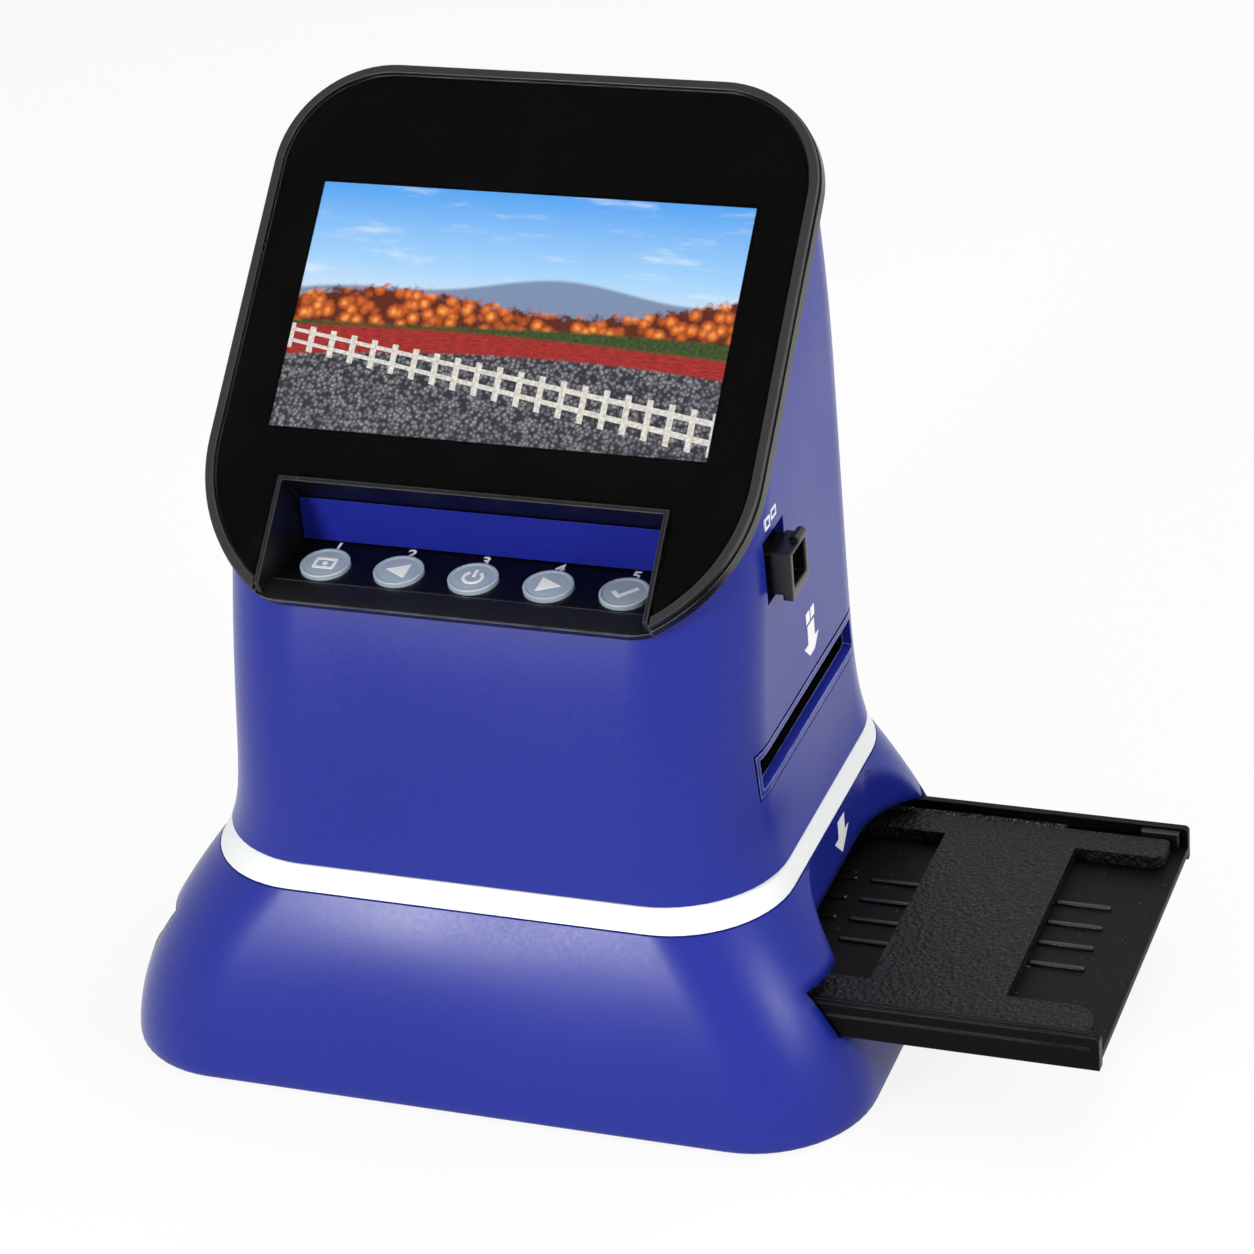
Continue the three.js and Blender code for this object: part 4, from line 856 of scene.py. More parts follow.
# Its pale edge colour, at full strength, paints a highlight along the lip of the slot.
border_blue = plastic("blue slot border", "1b2789", "a8b2f0", 0.3, grain_scale=1100, grain_depth=0.004,
                      edges=1.0, dustiness=0.03, specular=0.26)
done(border, "film_slot_border", border_blue)

# %% [markdown]
# ## Openings of the tower
# The selector has a window in the right-hand wall, three sockets sit in the rear wall, and the button
# recess opens under the head. Each could be its own cut at its own place in the file, but the inside
# has to be hollowed first, so that the cuts meet a real wall of the same thickness everywhere.

# %% Tower's inside, windows and finish
inner = [(tower_plan(TOWER_LOW, WALL), TOWER_LOW - 4)]
inner += [(tower_plan(z, WALL), z) for z in flare[::2] + middle[::2] + [TOWER_HIGH - WALL]]
carve(tower, loft(inner))
KNOB_Y, KNOB_Z = -11.35, 125.3
WINDOW_Y, WINDOW_Z = (KNOB_Y - 8.15, KNOB_Y + 6.55), (KNOB_Z - 7.5, KNOB_Z + 9.1)
carve(tower, block((60, WINDOW_Y[0], WINDOW_Z[0]), (FAR, WINDOW_Y[1], WINDOW_Z[1])))
SOCKETS = {"usb": (-24, 5.6, 4.6), "hdmi": (2, 7, 5.2), "card": (26, 12.6, 3.8)}
SOCKET_Z, REAR_WALL = 66, (54, 70)
for x, half, height in SOCKETS.values():
    wide, tall = half + GAP, height / 2 + GAP
    carve(tower, block((x - wide, REAR_WALL[0], SOCKET_Z - tall), (x + wide, REAR_WALL[1], SOCKET_Z + tall)))
OPEN_TOP, OPEN_HALF = 170, RECESS_CUT + 0.7
open_back, open_front = CHEEK_BACK + GAP, collar_foot[0] - 0.01
carve(tower, cross_prism([
    (LIP_IN_Y, LIP_IN_Z - LIP_THICK - 2 * GAP), (open_back, under_deck(open_back)), (open_back, OPEN_TOP),
    (open_front, OPEN_TOP), (open_front, collar_foot[1] - GAP),
], -OPEN_HALF, OPEN_HALF))
finished(tower, 0.25, 2, 40)
done(tower, "tower_case", blue, nodes=["tower_shell"])

# %% [markdown]
# ## Rim of the screen
# The rim is a dark frame with a pale line where its bevel turns to the light. The line could be a
# painted stripe, but it moves with the light on the real frame, so it is a real bevel, which the finish's
# edge colour lightens a little more as a painted highlight. The frame is stepped: a thin edge that is
# seen, and a seat behind it that carries the glass.

# %% Rim
RECESS_TOP = 45.9
RIM_STEP, RIM_WIDTH, GLASS_SEAT = 2.5, 2.2, -1.45
WINDOW_HALF = (58.3, 35.3)


def recess_tool():
    """The space of the button recess, which every plate of the head leaves open."""
    return block((-RECESS_CUT, -FAR, -40), (RECESS_CUT, -RECESS_TOP + TUB_WALL + GAP, 40))


rim = fuse(head_plate(0, -2, 0), head_plate(RIM_STEP, -3.6, -1))
window = block((-WINDOW_HALF[0], -WINDOW_HALF[1], -20), (*WINDOW_HALF, 20))
carve(rim, head_plate(RIM_WIDTH, GLASS_SEAT, 20), window, recess_tool())
finished(rim, 0.5, 3, 40)
done(stand(rim, HEAD), "screen_rim", rim_grey, nodes=["bezel_frame"])

# %% [markdown]
# ## Glass and its black print
# The glass is one clear pane over a black print, which leaves a window open for the picture. A black
# glossy plate with a lit rectangle on it would look alike from the front, but from the side the picture
# has to sit a little below the pane. A faint smear in the roughness keeps the pane from being perfect.

# %% Glass
def glass(name, colour, roughness, bending):
    """A clear material that bends the light by its index."""
    material, surface = shader(name, colour, roughness)
    surface.inputs["Transmission Weight"].default_value = 1.0
    surface.inputs["IOR"].default_value = bending
    return material, surface


clear_glass, surface = glass("screen glass", "ffffff", 0.03, 1.05)
tree = clear_glass.node_tree
smear = noise(tree, 30, 4.0, 0.6, object_place(tree))
tree.links.new(product(tree, spot(tree, smear, 0.45, 0.8), 0.06), surface.inputs["Roughness"])
pane = carve(head_plate(RIM_STEP, -1.15, -0.05), recess_tool())
finished(pane, 0.12, 2, 50)
done(stand(pane, HEAD), "glass_pane", clear_glass, nodes=["display_glass"])

# %% Black print
print_black = plastic("black print", "030303", "060606", 0.5, grain_depth=0.002, edges=0, dustiness=0,
                      specular=0.02)
PICTURE = (55.35, 31.95)
mask = carve(head_plate(RIM_STEP + 0.1, -1.4, -1.2), recess_tool(),
             block((-PICTURE[0], -PICTURE[1], -20), (*PICTURE, 20)))
done(stand(mask, HEAD), "glass_print", print_black)

# %% [markdown]
# ## Picture on the screen
# The screen shows a snapshot. An image file could be laid on it, but a drawn picture stays sharp and
# needs no file. The material draws it out of masks on the plane of the screen: sky, far hills, an
# autumn wood, a red field, and a stony track with a pale fence. It gives off its own light, as a lit
# display does, so it has no base colour.

# %% Places on the screen
picture, surface = shader("lit picture", "000000", 0.4, specular=0.2)
tree = picture.node_tree
spread = node(tree, "ShaderNodeVectorMath", operation="SUBTRACT",
              _0=object_place(tree), _1=Vector(HEAD_CENTRE) * MM).outputs[0]


def along(direction, length):
    """Place along a direction on the screen, as -1 to 1 over the picture."""
    made = node(tree, "ShaderNodeVectorMath", operation="DOT_PRODUCT", _0=spread,
                _1=[part / (length * MM) for part in direction])
    return made.outputs["Value"]


across = along((1, 0, 0), PICTURE[0])
height = along((0, math.cos(TILT), math.sin(TILT)), PICTURE[1])
screen = node(tree, "ShaderNodeCombineXYZ", X=across, Y=height).outputs[0]


PICTURE_STRETCH = (1.7, 1, 1)


def stretched_screen(stretch=PICTURE_STRETCH):
    return node(tree, "ShaderNodeVectorMath", operation="MULTIPLY", _0=screen, _1=stretch).outputs[0]


def picture_noise(scale, detail=4.0, stretch=PICTURE_STRETCH):
    return noise(tree, scale, detail, 0.6, stretched_screen(stretch))


def blobs(scale):
    """Round shapes side by side, 0 in their middle."""
    return node(tree, "ShaderNodeTexVoronoi", Vector=stretched_screen(), Scale=scale).outputs["Distance"]


def wave(count, shift, size):
    """A gentle line across the picture."""
    return product(tree, maths(tree, "SINE", total(tree, product(tree, across, count), shift)), size)


def below(line, softness=0.02):
    """1 under a line across the picture, 0 above it."""
    over = maths(tree, "SUBTRACT", height, line)
    return maths(tree, "SUBTRACT", 1.0, spot(tree, over, -softness, softness))


print("picture:", [2 * half for half in PICTURE], "mm")

# %% Sky, hills and wood
colour = tones(tree, product(tree, total(tree, height, 1.0), 0.5),
               (0.45, "e3eff6"), (0.98, "5aa6f2"), (0.7, "a2d2fb"))
cloud = product(tree, spot(tree, picture_noise(2.2, 5.0, (1, 2.6, 1)), 0.52, 0.75), 0.55)
colour = paint(tree, colour, "f4f8fc", cloud)
far_line = total(tree, wave(2.3, 1.1, 0.09), wave(6.1, 0.4, 0.035), 0.2)
colour = paint(tree, colour, "7c8fb0", below(far_line))
wood_line = total(tree, wave(3.1, 3.6, 0.12), wave(1.2, 0.2, 0.1), product(tree, picture_noise(16), 0.22))
crowns = total(tree, blobs(11), product(tree, picture_noise(34, 6.0), 0.5))
wood = tones(tree, crowns, (0.3, "f7ae58"), (0.95, "5c1e0a"), (0.62, "d0611c"))
colour = paint(tree, colour, wood, below(wood_line, 0.03))

# %% Hedge, field and track
hedge = tones(tree, picture_noise(40, 5.0), (0.3, "16240f"), (0.7, "49622a"))
colour = paint(tree, colour, hedge, below(total(tree, wave(2.0, 0.5, 0.03), -0.1)))
field = tones(tree, picture_noise(26, 5.0, (1, 3, 1)), (0.3, "6d1418"), (0.7, "c23228"))
colour = paint(tree, colour, field, below(total(tree, wave(1.6, 2.0, 0.05), -0.19)))
stones = total(tree, blobs(34), product(tree, picture_noise(9, 6.0), 0.6))
track = tones(tree, stones, (0.35, "a8a6a4"), (1.0, "2c2d33"), (0.6, "73727a"))
colour = paint(tree, colour, track, below(total(tree, wave(1.1, 1.4, 0.16), -0.46), 0.015))
print("layers so far:", sum(made.bl_idname == "ShaderNodeMix" for made in tree.nodes))

# %% [markdown]
# ## Pale fence in the picture
# A fence is posts and rails. They could be modelled, but the picture is flat. Two zigzag waves make
# them: one across the picture for the posts, and one over the height above the fence's foot for the
# rails. Dividing by the fence's height lets the fence grow towards the right, as it does nearby.

# %% Fence and screen
fence_line = total(tree, product(tree, across, -0.3), -0.66)
fence_height = total(tree, product(tree, across, 0.07), 0.27)
over_foot = maths(tree, "DIVIDE", maths(tree, "SUBTRACT", height, fence_line), fence_height)
post = maths(tree, "LESS_THAN", maths(tree, "PINGPONG", total(tree, across, 2.0), 0.05), 0.014)
rail = maths(tree, "LESS_THAN", maths(tree, "PINGPONG", total(tree, over_foot, 0.12), 0.22), 0.07)
rail = product(tree, rail, maths(tree, "LESS_THAN", over_foot, 0.86))
above_foot, under_top = maths(tree, "GREATER_THAN", over_foot, 0.0), maths(tree, "LESS_THAN", over_foot, 1.0)
fence = product(tree, maths(tree, "MAXIMUM", post, rail), product(tree, above_foot, under_top))
colour = paint(tree, colour, tones(tree, picture_noise(35), (0.3, "b9b3a8"), (0.7, "f6f3ec")), fence)
tree.links.new(colour, surface.inputs["Emission Color"])
surface.inputs["Emission Strength"].default_value = 1.0
UNDER_PRINT = 0.6
sheet = block((-PICTURE[0] - UNDER_PRINT, -PICTURE[1] - UNDER_PRINT, -1.98),
              (PICTURE[0] + UNDER_PRINT, PICTURE[1] + UNDER_PRINT, -1.9))
done(stand(round_edges(sheet, 0.02, 1), HEAD), "screen_picture", picture)

# %% [markdown]
# ## Collar, and the lip under the buttons
# Behind the rim a dark collar closes the joint to the tower. At the foot of the head it carries a lip,
# the ledge in front of the buttons. The lip could be a separate bar, but its front has to run on in
# the round of the head. So it is a longer bar, cut down to the head's outline and fused to the collar.

# %% Collar and lip
# Its light grey edge colour paints a highlight along the lip's front edge and the collar's edges.
collar_black = plastic("collar black", "101012", "8a8a8c", 0.3, grain_scale=1300, grain_depth=0.003,
                       edges=0.7, dustiness=0.1, specular=0.42)
COLLAR_OUT, LIP_OUT, LIP_OVERLAP, LIP_REACH = 0.4, 0.2, 0.4, 30
collar = head_plate(-COLLAR_OUT, HEAD_BACK, LIP_FRONT_DEPTH)
carve(collar, head_plate(RIM_WIDTH, -3.9, 20), block((-60, -40, -20), (60, 54, 20)), recess_tool())
stand(collar, HEAD)
far_y = collar_foot[0] - LIP_REACH
lip = cross_prism([
    (far_y, collar_foot[1]), collar_foot, (LIP_IN_Y, LIP_IN_Z - LIP_THICK), (LIP_IN_Y, LIP_IN_Z),
    (far_y, lip_height(far_y)),
], -RECESS_CUT - LIP_OVERLAP, RECESS_CUT + LIP_OVERLAP)
carve(lip, stand(head_plate(-LIP_OUT, 2 * HEAD_BACK, LIP_FRONT_DEPTH), HEAD), mode="INTERSECT")
fuse(collar, lip)
finished(collar, 0.4, 3, 40)
done(collar, "head_collar", collar_black, nodes=["rear_collar"])

# %% [markdown]
# ## Button recess
# A black frame lines the recess, with a thin edge standing proud of the glass. It could be bent from
# four plates, but then its corners would show joints. One bar with the recess's outline is hollowed
# instead. It rests a hair above the lip, so that no light slips between them.

# %% Recess lining
outer_top, floor_drop = TUB_WALL - RECESS_TOP, 2 * GAP - DECK_THICK
CHEEK_DROP, CHEEK_PROUD, CHEEK_DEPTH, SEAT = 72.2, 0.3, -10.1, 0.04
RECESS_LENGTH = 40
cheek_y, deck_front = head_point(-CHEEK_DROP, -2)[0], LIP_IN_Y + GAP
lining = cross_prism([
    head_point(outer_top, CHEEK_PROUD), head_point(-CHEEK_DROP, CHEEK_PROUD),
    (cheek_y, lip_height(cheek_y) + SEAT), (deck_front, lip_height(LIP_IN_Y) + SEAT),
    (deck_front, deck_height(LIP_IN_Y) + floor_drop),
    (CHEEK_BACK, deck_height(CHEEK_BACK) + floor_drop), (CHEEK_BACK, head_point(outer_top, CHEEK_DEPTH)[1]),
    head_point(outer_top, CHEEK_DEPTH),
], -RECESS_HALF - TUB_WALL, RECESS_HALF + TUB_WALL)
opening = [head_point(-RECESS_TOP - run, depth) for run, depth in
           ((0, 40), (RECESS_LENGTH, 40), (RECESS_LENGTH, -50), (0, -50))]
carve(lining, cross_prism(opening, -RECESS_HALF, RECESS_HALF))
finished(lining, 0.25, 2, 40)
done(lining, "recess_lining", black, nodes=["recess_tub"])

# %% [markdown]
# ## Rear wall of the recess
# Behind the buttons stands a blue wall, which glows because it is the only coloured thing in the dark.
# It could be part of the lining, but it has the colour of the case, so it is a plate of its own. Its
# finish is duller than that of the case, because a glossy one would mirror the lamps down there.

# %% Rear wall
BACK_FRONT, BACK_REAR = -24.9, -23.5
ceiling_y, ceiling_z = head_point(-RECESS_TOP, CHEEK_DEPTH)


def under_ceiling(y):
    return ceiling_z - (y - ceiling_y) / math.tan(TILT) - 1.5 * GAP


foot = deck_height(BACK_REAR) + GAP
back_wall = cross_prism([(BACK_FRONT, foot), (BACK_REAR, foot), (BACK_REAR, under_ceiling(BACK_REAR)),
                         (BACK_FRONT, under_ceiling(BACK_FRONT))], -RECESS_HALF + GAP, RECESS_HALF - GAP)
finished(back_wall, 0.15, 2, 40)
done(back_wall, "recess_rear", recess_blue, nodes=["recess_back"])

# %% [markdown]
# ## Button deck
# The five buttons stand in a glossy dark strip that leans towards the user. The caps could be pressed
# into it without holes, but a real one has a fine dark gap round each cap. The gap is what tells the
# eye that the button moves, so every hole is carved with its play.

# %% Deck strip
BUTTON_STEP, DECK_DEPTH = 19, (-6.8, 10.6)
BUTTON_X = [BUTTON_STEP * place for place in (-2, -1, 0, 1, 2)]
CAP_RADIUS, CAP_TOP = 6.1, 1.0
strip = block((-RECESS_HALF + GAP, DECK_DEPTH[0], -DECK_THICK), (RECESS_HALF - GAP, DECK_DEPTH[1], 0))
for x in BUTTON_X:
    carve(strip, rod(CAP_RADIUS + GAP, (x, 0), -4, 4, 64))
finished(strip, 0.2, 2, 50)
done(stand(strip, DECK), "deck_strip", deck_gloss, nodes=["button_deck"])

# %% [markdown]
# ## Button caps
# A cap has a raised rim round a shallow dish, a flange that keeps it from falling out, and a stem that
# presses the switch. It could be spun from its outline, but two insets on a cylinder's top give the
# same dish in two lines. One button is modelled, and then copied for each place in the row.

# %% One button
# Its near-white edge colour, at full strength, paints a bright highlight ring on each cap's rim.
button_silver = plastic("silver button", "a8b7c5", "f4f8fa", 0.3, grain_scale=1500, grain_depth=0.004,
                        edges=1.0, dustiness=0.05, coat=0.3)
CAP_FOOT, FLANGE_FOOT, STEM_FOOT = -1.7, -2.5, -3.9
FLANGE_OUT, STEM_RADIUS = 0.9, 3
RIM_BAND, DISH_SLOPE, DISH_DEEP = 0.7, 0.25, 0.22
cap = rod(CAP_RADIUS, (0, 0), CAP_FOOT, CAP_TOP, 72)
edit(cap, "FACE")
pick(cap, lambda face: face.normal.z > 0.9, "faces")
bpy.ops.mesh.inset(thickness=RIM_BAND * MM, depth=0)
bpy.ops.mesh.inset(thickness=DISH_SLOPE * MM, depth=-DISH_DEEP * MM)
nothing_selected()
round_edges(cap, 0.28, 3, 30)
button_flange = rod(CAP_RADIUS + FLANGE_OUT, (0, 0), FLANGE_FOOT, CAP_FOOT, 48)
fuse(cap, button_flange, rod(STEM_RADIUS, (0, 0), STEM_FOOT, FLANGE_FOOT + 0.1, 32))
soften(cap, 30)
print("one button:", len(cap.data.polygons), "faces")

# %% [markdown]
# ## Signs on the caps
# The caps carry plain signs: a frame, two arrows, a power sign and a tick. Text from a font could
# give some of them, but each font draws them in its own way. They are thin raised shapes, traced as
# outlines, so they keep a crisp edge in any light. The dish of the cap lies between their two heights.

# %% Strokes
sign_white = plastic("printed white", "fafcfc", "ffffff", 0.5, grain_depth=0.003, edges=0, dustiness=0)
SIGN_LOW, SIGN_HIGH = 0.75, 0.9


def plate_of(points):
    """A flat shape over an outline."""
    return raised(trace(points[0], points[1:], SIGN_LOW), SIGN_HIGH - SIGN_LOW)


def bar(start, end, width):
    """A short straight stroke."""
    run = (Vector(end) - Vector(start)).normalized()
    side = Vector((-run.y, run.x)) * width / 2
    return plate_of([tuple(Vector(point) + offset) for point, offset in
                     ((start, -side), (end, -side), (end, side), (start, side))])


def ring_stroke(radius, width, gap_degrees):
    """A round stroke with a gap at the top."""
    half, turn = math.radians(gap_degrees / 2), 360 - gap_degrees
    outer, inner = radius + width / 2, radius - width / 2
    start = (outer * math.sin(-half), outer * math.cos(half))
    inner_end = turned((start[0] * inner / outer, start[1] * inner / outer), (0, 0), turn)
    face = trace(start, [(0, 0, turn, 40), inner_end, (0, 0, -turn, 40)], SIGN_LOW)
    return raised(face, SIGN_HIGH - SIGN_LOW)


def frame_sign():
    """A small film frame with a dot in it."""
    outer = rounded_plate((-2.8, -2.2, SIGN_LOW), (2.8, 2.2, SIGN_HIGH), 0.6, 4)
    carve(outer, rounded_plate((-2.0, -1.4, 0), (2.0, 1.4, 2), 0.3, 3))
    return joined(outer, rod(0.7, (0, 0), SIGN_LOW, SIGN_HIGH, 20))


# %% Signs, and the row of buttons
signs = [
    frame_sign(),
    plate_of([(-3.1, 0), (2.3, -2.9), (2.3, 2.9)]),
    joined(ring_stroke(2.3, 0.8, 70), bar((0, 0.4), (0, 3.2), 0.8)),
    plate_of([(3.1, 0), (-2.3, 2.9), (-2.3, -2.9)]),
    fuse(bar((-2.8, 0.1), (-0.8, -2.0), 1.0), bar((-1.1, -1.95), (2.8, 2.1), 1.0)),
]
for index, (x, sign) in enumerate(zip(BUTTON_X, signs), 1):
    piece = stand(copied(cap, (x, 0, 0)), DECK)
    done(piece, f"cap_{index}", button_silver, f"button_{index}", [f"button_{index}"])
    outward(sign)
    sign.location = Vector((x, 0, 0)) * MM
    done(stand(settle(sign), DECK), f"cap_sign_{index}", sign_white, f"button_{index}")
bpy.data.objects.remove(cap)

# %% [markdown]
# ## Numbers behind the buttons
# A plain number is printed on the deck behind each button. It could be a mask in the deck's material,
# but Blender can set type as an object. Its outline is thickened a little with the offset and given a
# body, and it is turned into a mesh before it is moved to its place.

# %% Numbers
NUMBER_SIZE, NUMBER_Y, NUMBER_BOLD, NUMBER_BODY = 4.8, 8.2, 0.1, 0.03
for index, x in enumerate(BUTTON_X, 1):
    nothing_selected()
    bpy.ops.object.text_add(location=(x * MM, NUMBER_Y * MM, 0.0))
    number = bpy.context.object
    number.data.body = str(index)
    number.data.align_x, number.data.align_y = "CENTER", "CENTER"
    number.data.size = NUMBER_SIZE * MM
    number.data.offset = NUMBER_BOLD * MM
    number.data.extrude = NUMBER_BODY * MM
    bpy.ops.object.convert(target="MESH")
    settle(number)
    done(stand(outward(number), DECK), f"deck_number_{index}", sign_white)

# %% [markdown]
# ## Lens selector
# A square slider stands out of the right-hand wall. Its face is hollow, so that a fingertip can push
# it up or down. It could be one box with a dent, but the photograph shows a face that is taller than
# the neck behind it. So a neck and a face are fused, and the hollow is carved through both.

# %% Face and neck of the slider
# Its grey edge colour paints a faint highlight along the slider's edges.
knob_black = plastic("rounded black knob", "0c0c0d", "6c6c6e", 0.26, grain_scale=1300, grain_depth=0.008,
                     edges=0.4, soft_edge=0.9, soft_below=300, specular=0.4)
WALL_X, KNOB_FACE = 67.45, 73.1
KNOB_HALF, KNOB_TALL, FLANGE, FLANGE_DEPTH = 6.25, 5.3, 1.4, 2.4
HOLLOW_HALF, HOLLOW_LOW, HOLLOW_HIGH, HOLLOW_DEPTH = 4.75, 4.1, 4.7, 3.6
KNOB_CORNER, NOTCH_FROM, OUTSIDE = 1.0, 0.8, 90
neck_x = WALL_X + 2 * GAP


def by_knob(x_from, x_to, y_from, y_to, z_from, z_to):
    """A block placed from the middle of the slider, except for its x."""
    return block((x_from, KNOB_Y + y_from, KNOB_Z + z_from), (x_to, KNOB_Y + y_to, KNOB_Z + z_to))


knob = by_knob(neck_x, KNOB_FACE, -KNOB_HALF, KNOB_HALF, -KNOB_TALL, KNOB_TALL)
flange = by_knob(KNOB_FACE - FLANGE_DEPTH, KNOB_FACE, -KNOB_HALF, KNOB_HALF, -KNOB_TALL - FLANGE,
                 KNOB_TALL + FLANGE)
edit(flange, "EDGE")
pick(flange, lambda edge: all(vert.co.z > (KNOB_Z + KNOB_TALL) * MM for vert in edge.verts)
     and abs(edge.verts[0].co.y - edge.verts[1].co.y) > MM, "edges")
bpy.ops.mesh.bevel(offset=KNOB_CORNER * MM, segments=5)
nothing_selected()
carve(flange, by_knob(60, OUTSIDE, -9, NOTCH_FROM, KNOB_TALL, 9))
fuse(knob, flange)
carve(knob, by_knob(KNOB_FACE - HOLLOW_DEPTH, OUTSIDE, -HOLLOW_HALF, HOLLOW_HALF, -HOLLOW_LOW, HOLLOW_HIGH))
round_edges(knob, 0.35, 3, 40)
print("slider stands out", round(KNOB_FACE - WALL_X, 2), "mm")

# %% [markdown]
# ## Shield behind the wall
# The slider's slot would show the inside of the tower, so a thin shield travels with the slider. A flat
# plate would rub on the leaning wall. The shield is the part of a plate that lies inside a loft of the
# tower's own plan, drawn in by the wall and a little play.

# %% Shield, and the whole slider
SHIELD, SHIELD_PLAY, SHIELD_TALL, SHIELD_LEVELS = 1.2, 0.6, 12.7, (105, 115, 125, 135, 145)
OVERLAP = 0.4
shield_x = WALL_X - WALL - SHIELD_PLAY
fuse(knob, by_knob(shield_x - OVERLAP, neck_x + OVERLAP, -5.85, 5.85, -4.9, 4.9))
shield = by_knob(shield_x - SHIELD, shield_x, -9.75, 10.15, -SHIELD_TALL, SHIELD_TALL)
carve(shield, loft([(tower_plan(z, WALL + SHIELD_PLAY), z) for z in SHIELD_LEVELS]), mode="INTERSECT")
fuse(knob, shield)
soften(knob)
done(knob, "selector_slider", knob_black, "lens", ["selector_knob"])

# %% [markdown]
# ## Signs on the case
# Small pale signs show where film goes in and which way it travels. They could be printed by the
# material of the case, with a mask, but then the case would need its own colour map. They are plain
# arrows and film frames, made as very thin plates that lie on the wall.

# %% Printed arrows and frames
PRINT_SUNK, PRINT_PROUD = 0.4, 0.04


def wall_sign(name, x, y, z, shapes, holes=()):
    """Flat shapes on a wall that faces right: their own (across, up) become (y, z) on the wall."""
    def plate(points, low, high):
        moved = [(across_wall + y, up_wall + z) for across_wall, up_wall in points]
        return stand(raised(trace(moved[0], moved[1:], x + low), high - low), ALONG_X)

    sign = outward(joined(*[plate(points, -PRINT_SUNK, PRINT_PROUD) for points in shapes]))
    for points in holes:
        carve(sign, outward(plate(points, -1, 1)))
    return done(sign, name, sign_white)


def frame_outline(width, height, inset=0.0):
    half, tall = width / 2 - inset, height / 2 - inset
    return [(-half, -tall), (half, -tall), (half, tall), (-half, tall)]


arrow = [(-2.6, 5.2), (2.6, 5.2), (2.6, 0.4), (5.6, 0.4), (0, -4.8), (-5.6, 0.4), (-2.6, 0.4)]
frames = [[(x, 6.0), (x + 2.8, 6.0), (x + 2.8, 8.8), (x, 8.8)] for x in (-3.2, 0.4)]
FILM_SIGN_X = 67.73
wall_sign("film_arrow", FILM_SIGN_X, 9.4, 92.8, [arrow])
wall_sign("film_frames", FILM_SIGN_X, 9.4, 92.8, frames)
wall_sign("tray_arrow", POCKET_FACE, 4.6, 41.2, [arrow])
MARK_LINE = 0.55
for name, y, z, width, height in (("selector_mark_high", -15.9, 137.8, 3.4, 2.9),
                                  ("selector_mark_high_2", -11.4, 138.4, 3.8, 2.6),
                                  ("selector_mark_low", -11.7, 115.3, 3.3, 2.4)):
    wall_sign(name, WALL_X, y, z, [frame_outline(width, height)], [frame_outline(width, height, MARK_LINE)])

# %% [markdown]
# ## Film tray
# The tray is a shallow black drawer, open at both ends, that slides through the base. It could be a
# box without two of its walls, but its two walls differ: the front one carries a fine groove and a
# step, the rear one is plain. So each is its own bar, and the floor is a plate between them.

# %% Tray's two walls
TRAY_X, TRAY_Y, TRAY_Z = (2.6, 152.6), (-52.6, 43.6), (21.9, 30.9)
FRONT_WALL, REAR_BAR, STOP = 3, 1.8, 2.4
WALL_GROOVE = ((-1, 0.35), (27.6, 28.0))
WALL_STEP = ((1.2, 1.7), (30.2, 40))
# Its grey edge colour paints a highlight line along the tray's edges.
tray_case = plastic("tray wall", "08080a", "626264", 0.3, grain_scale=1300, grain_depth=0.01, edges=0.6,
                    dustiness=0.2, specular=0.06)
tray = joined(
    block((TRAY_X[0], TRAY_Y[0], TRAY_Z[0]), (TRAY_X[1], TRAY_Y[0] + FRONT_WALL, TRAY_Z[1])),
    block((TRAY_X[0], TRAY_Y[1] - REAR_BAR, TRAY_Z[0]), (TRAY_X[1], TRAY_Y[1], TRAY_Z[1])),
)
edit(tray, "EDGE")
pick(tray, lambda edge: all(vert.co.x > (TRAY_X[1] - 1) * MM and vert.co.z > (TRAY_Z[1] - 1) * MM
                            for vert in edge.verts), "edges")
bpy.ops.mesh.bevel(offset=1.2 * MM, segments=4)
nothing_selected()
for (y_from, y_to), (z_from, z_to) in (WALL_GROOVE, WALL_STEP):
    low, high = (TRAY_X[0] - 1, TRAY_Y[0] + y_from, z_from), (TRAY_X[1] - STOP, TRAY_Y[0] + y_to, z_to)
    carve(tray, block(low, high))
finished(tray, 0.3, 3, 40)
done(tray, "tray_drawer", tray_case, "tray", ["tray_body"])

# %% Tray floor
FLOOR = (23.4, 25.8)
tray_black = plastic("matt tray floor", "070708", "202022", 0.45, grain_scale=1300, grain_depth=0.01,
                     edges=0.0, dustiness=0.4, specular=0.08)
floor_y = (TRAY_Y[0] + FRONT_WALL - 0.1, TRAY_Y[1] - REAR_BAR + 0.1)
floor_plate = block((TRAY_X[0], floor_y[0], FLOOR[0]), (TRAY_X[1], floor_y[1], FLOOR[1]))
finished(floor_plate, 0.3, 2, 40)
done(floor_plate, "tray_floor", tray_black, "tray")

# %% [markdown]
# ## Ribs on the tray's floor
# Slim ribs beside the cross bands keep film off the floor, so that it is not scratched. They could be
# pressed out of the floor plate, but they are glossy where the floor is matt. They are small rounded
# bars with a finish of their own, sunk a little into the floor.

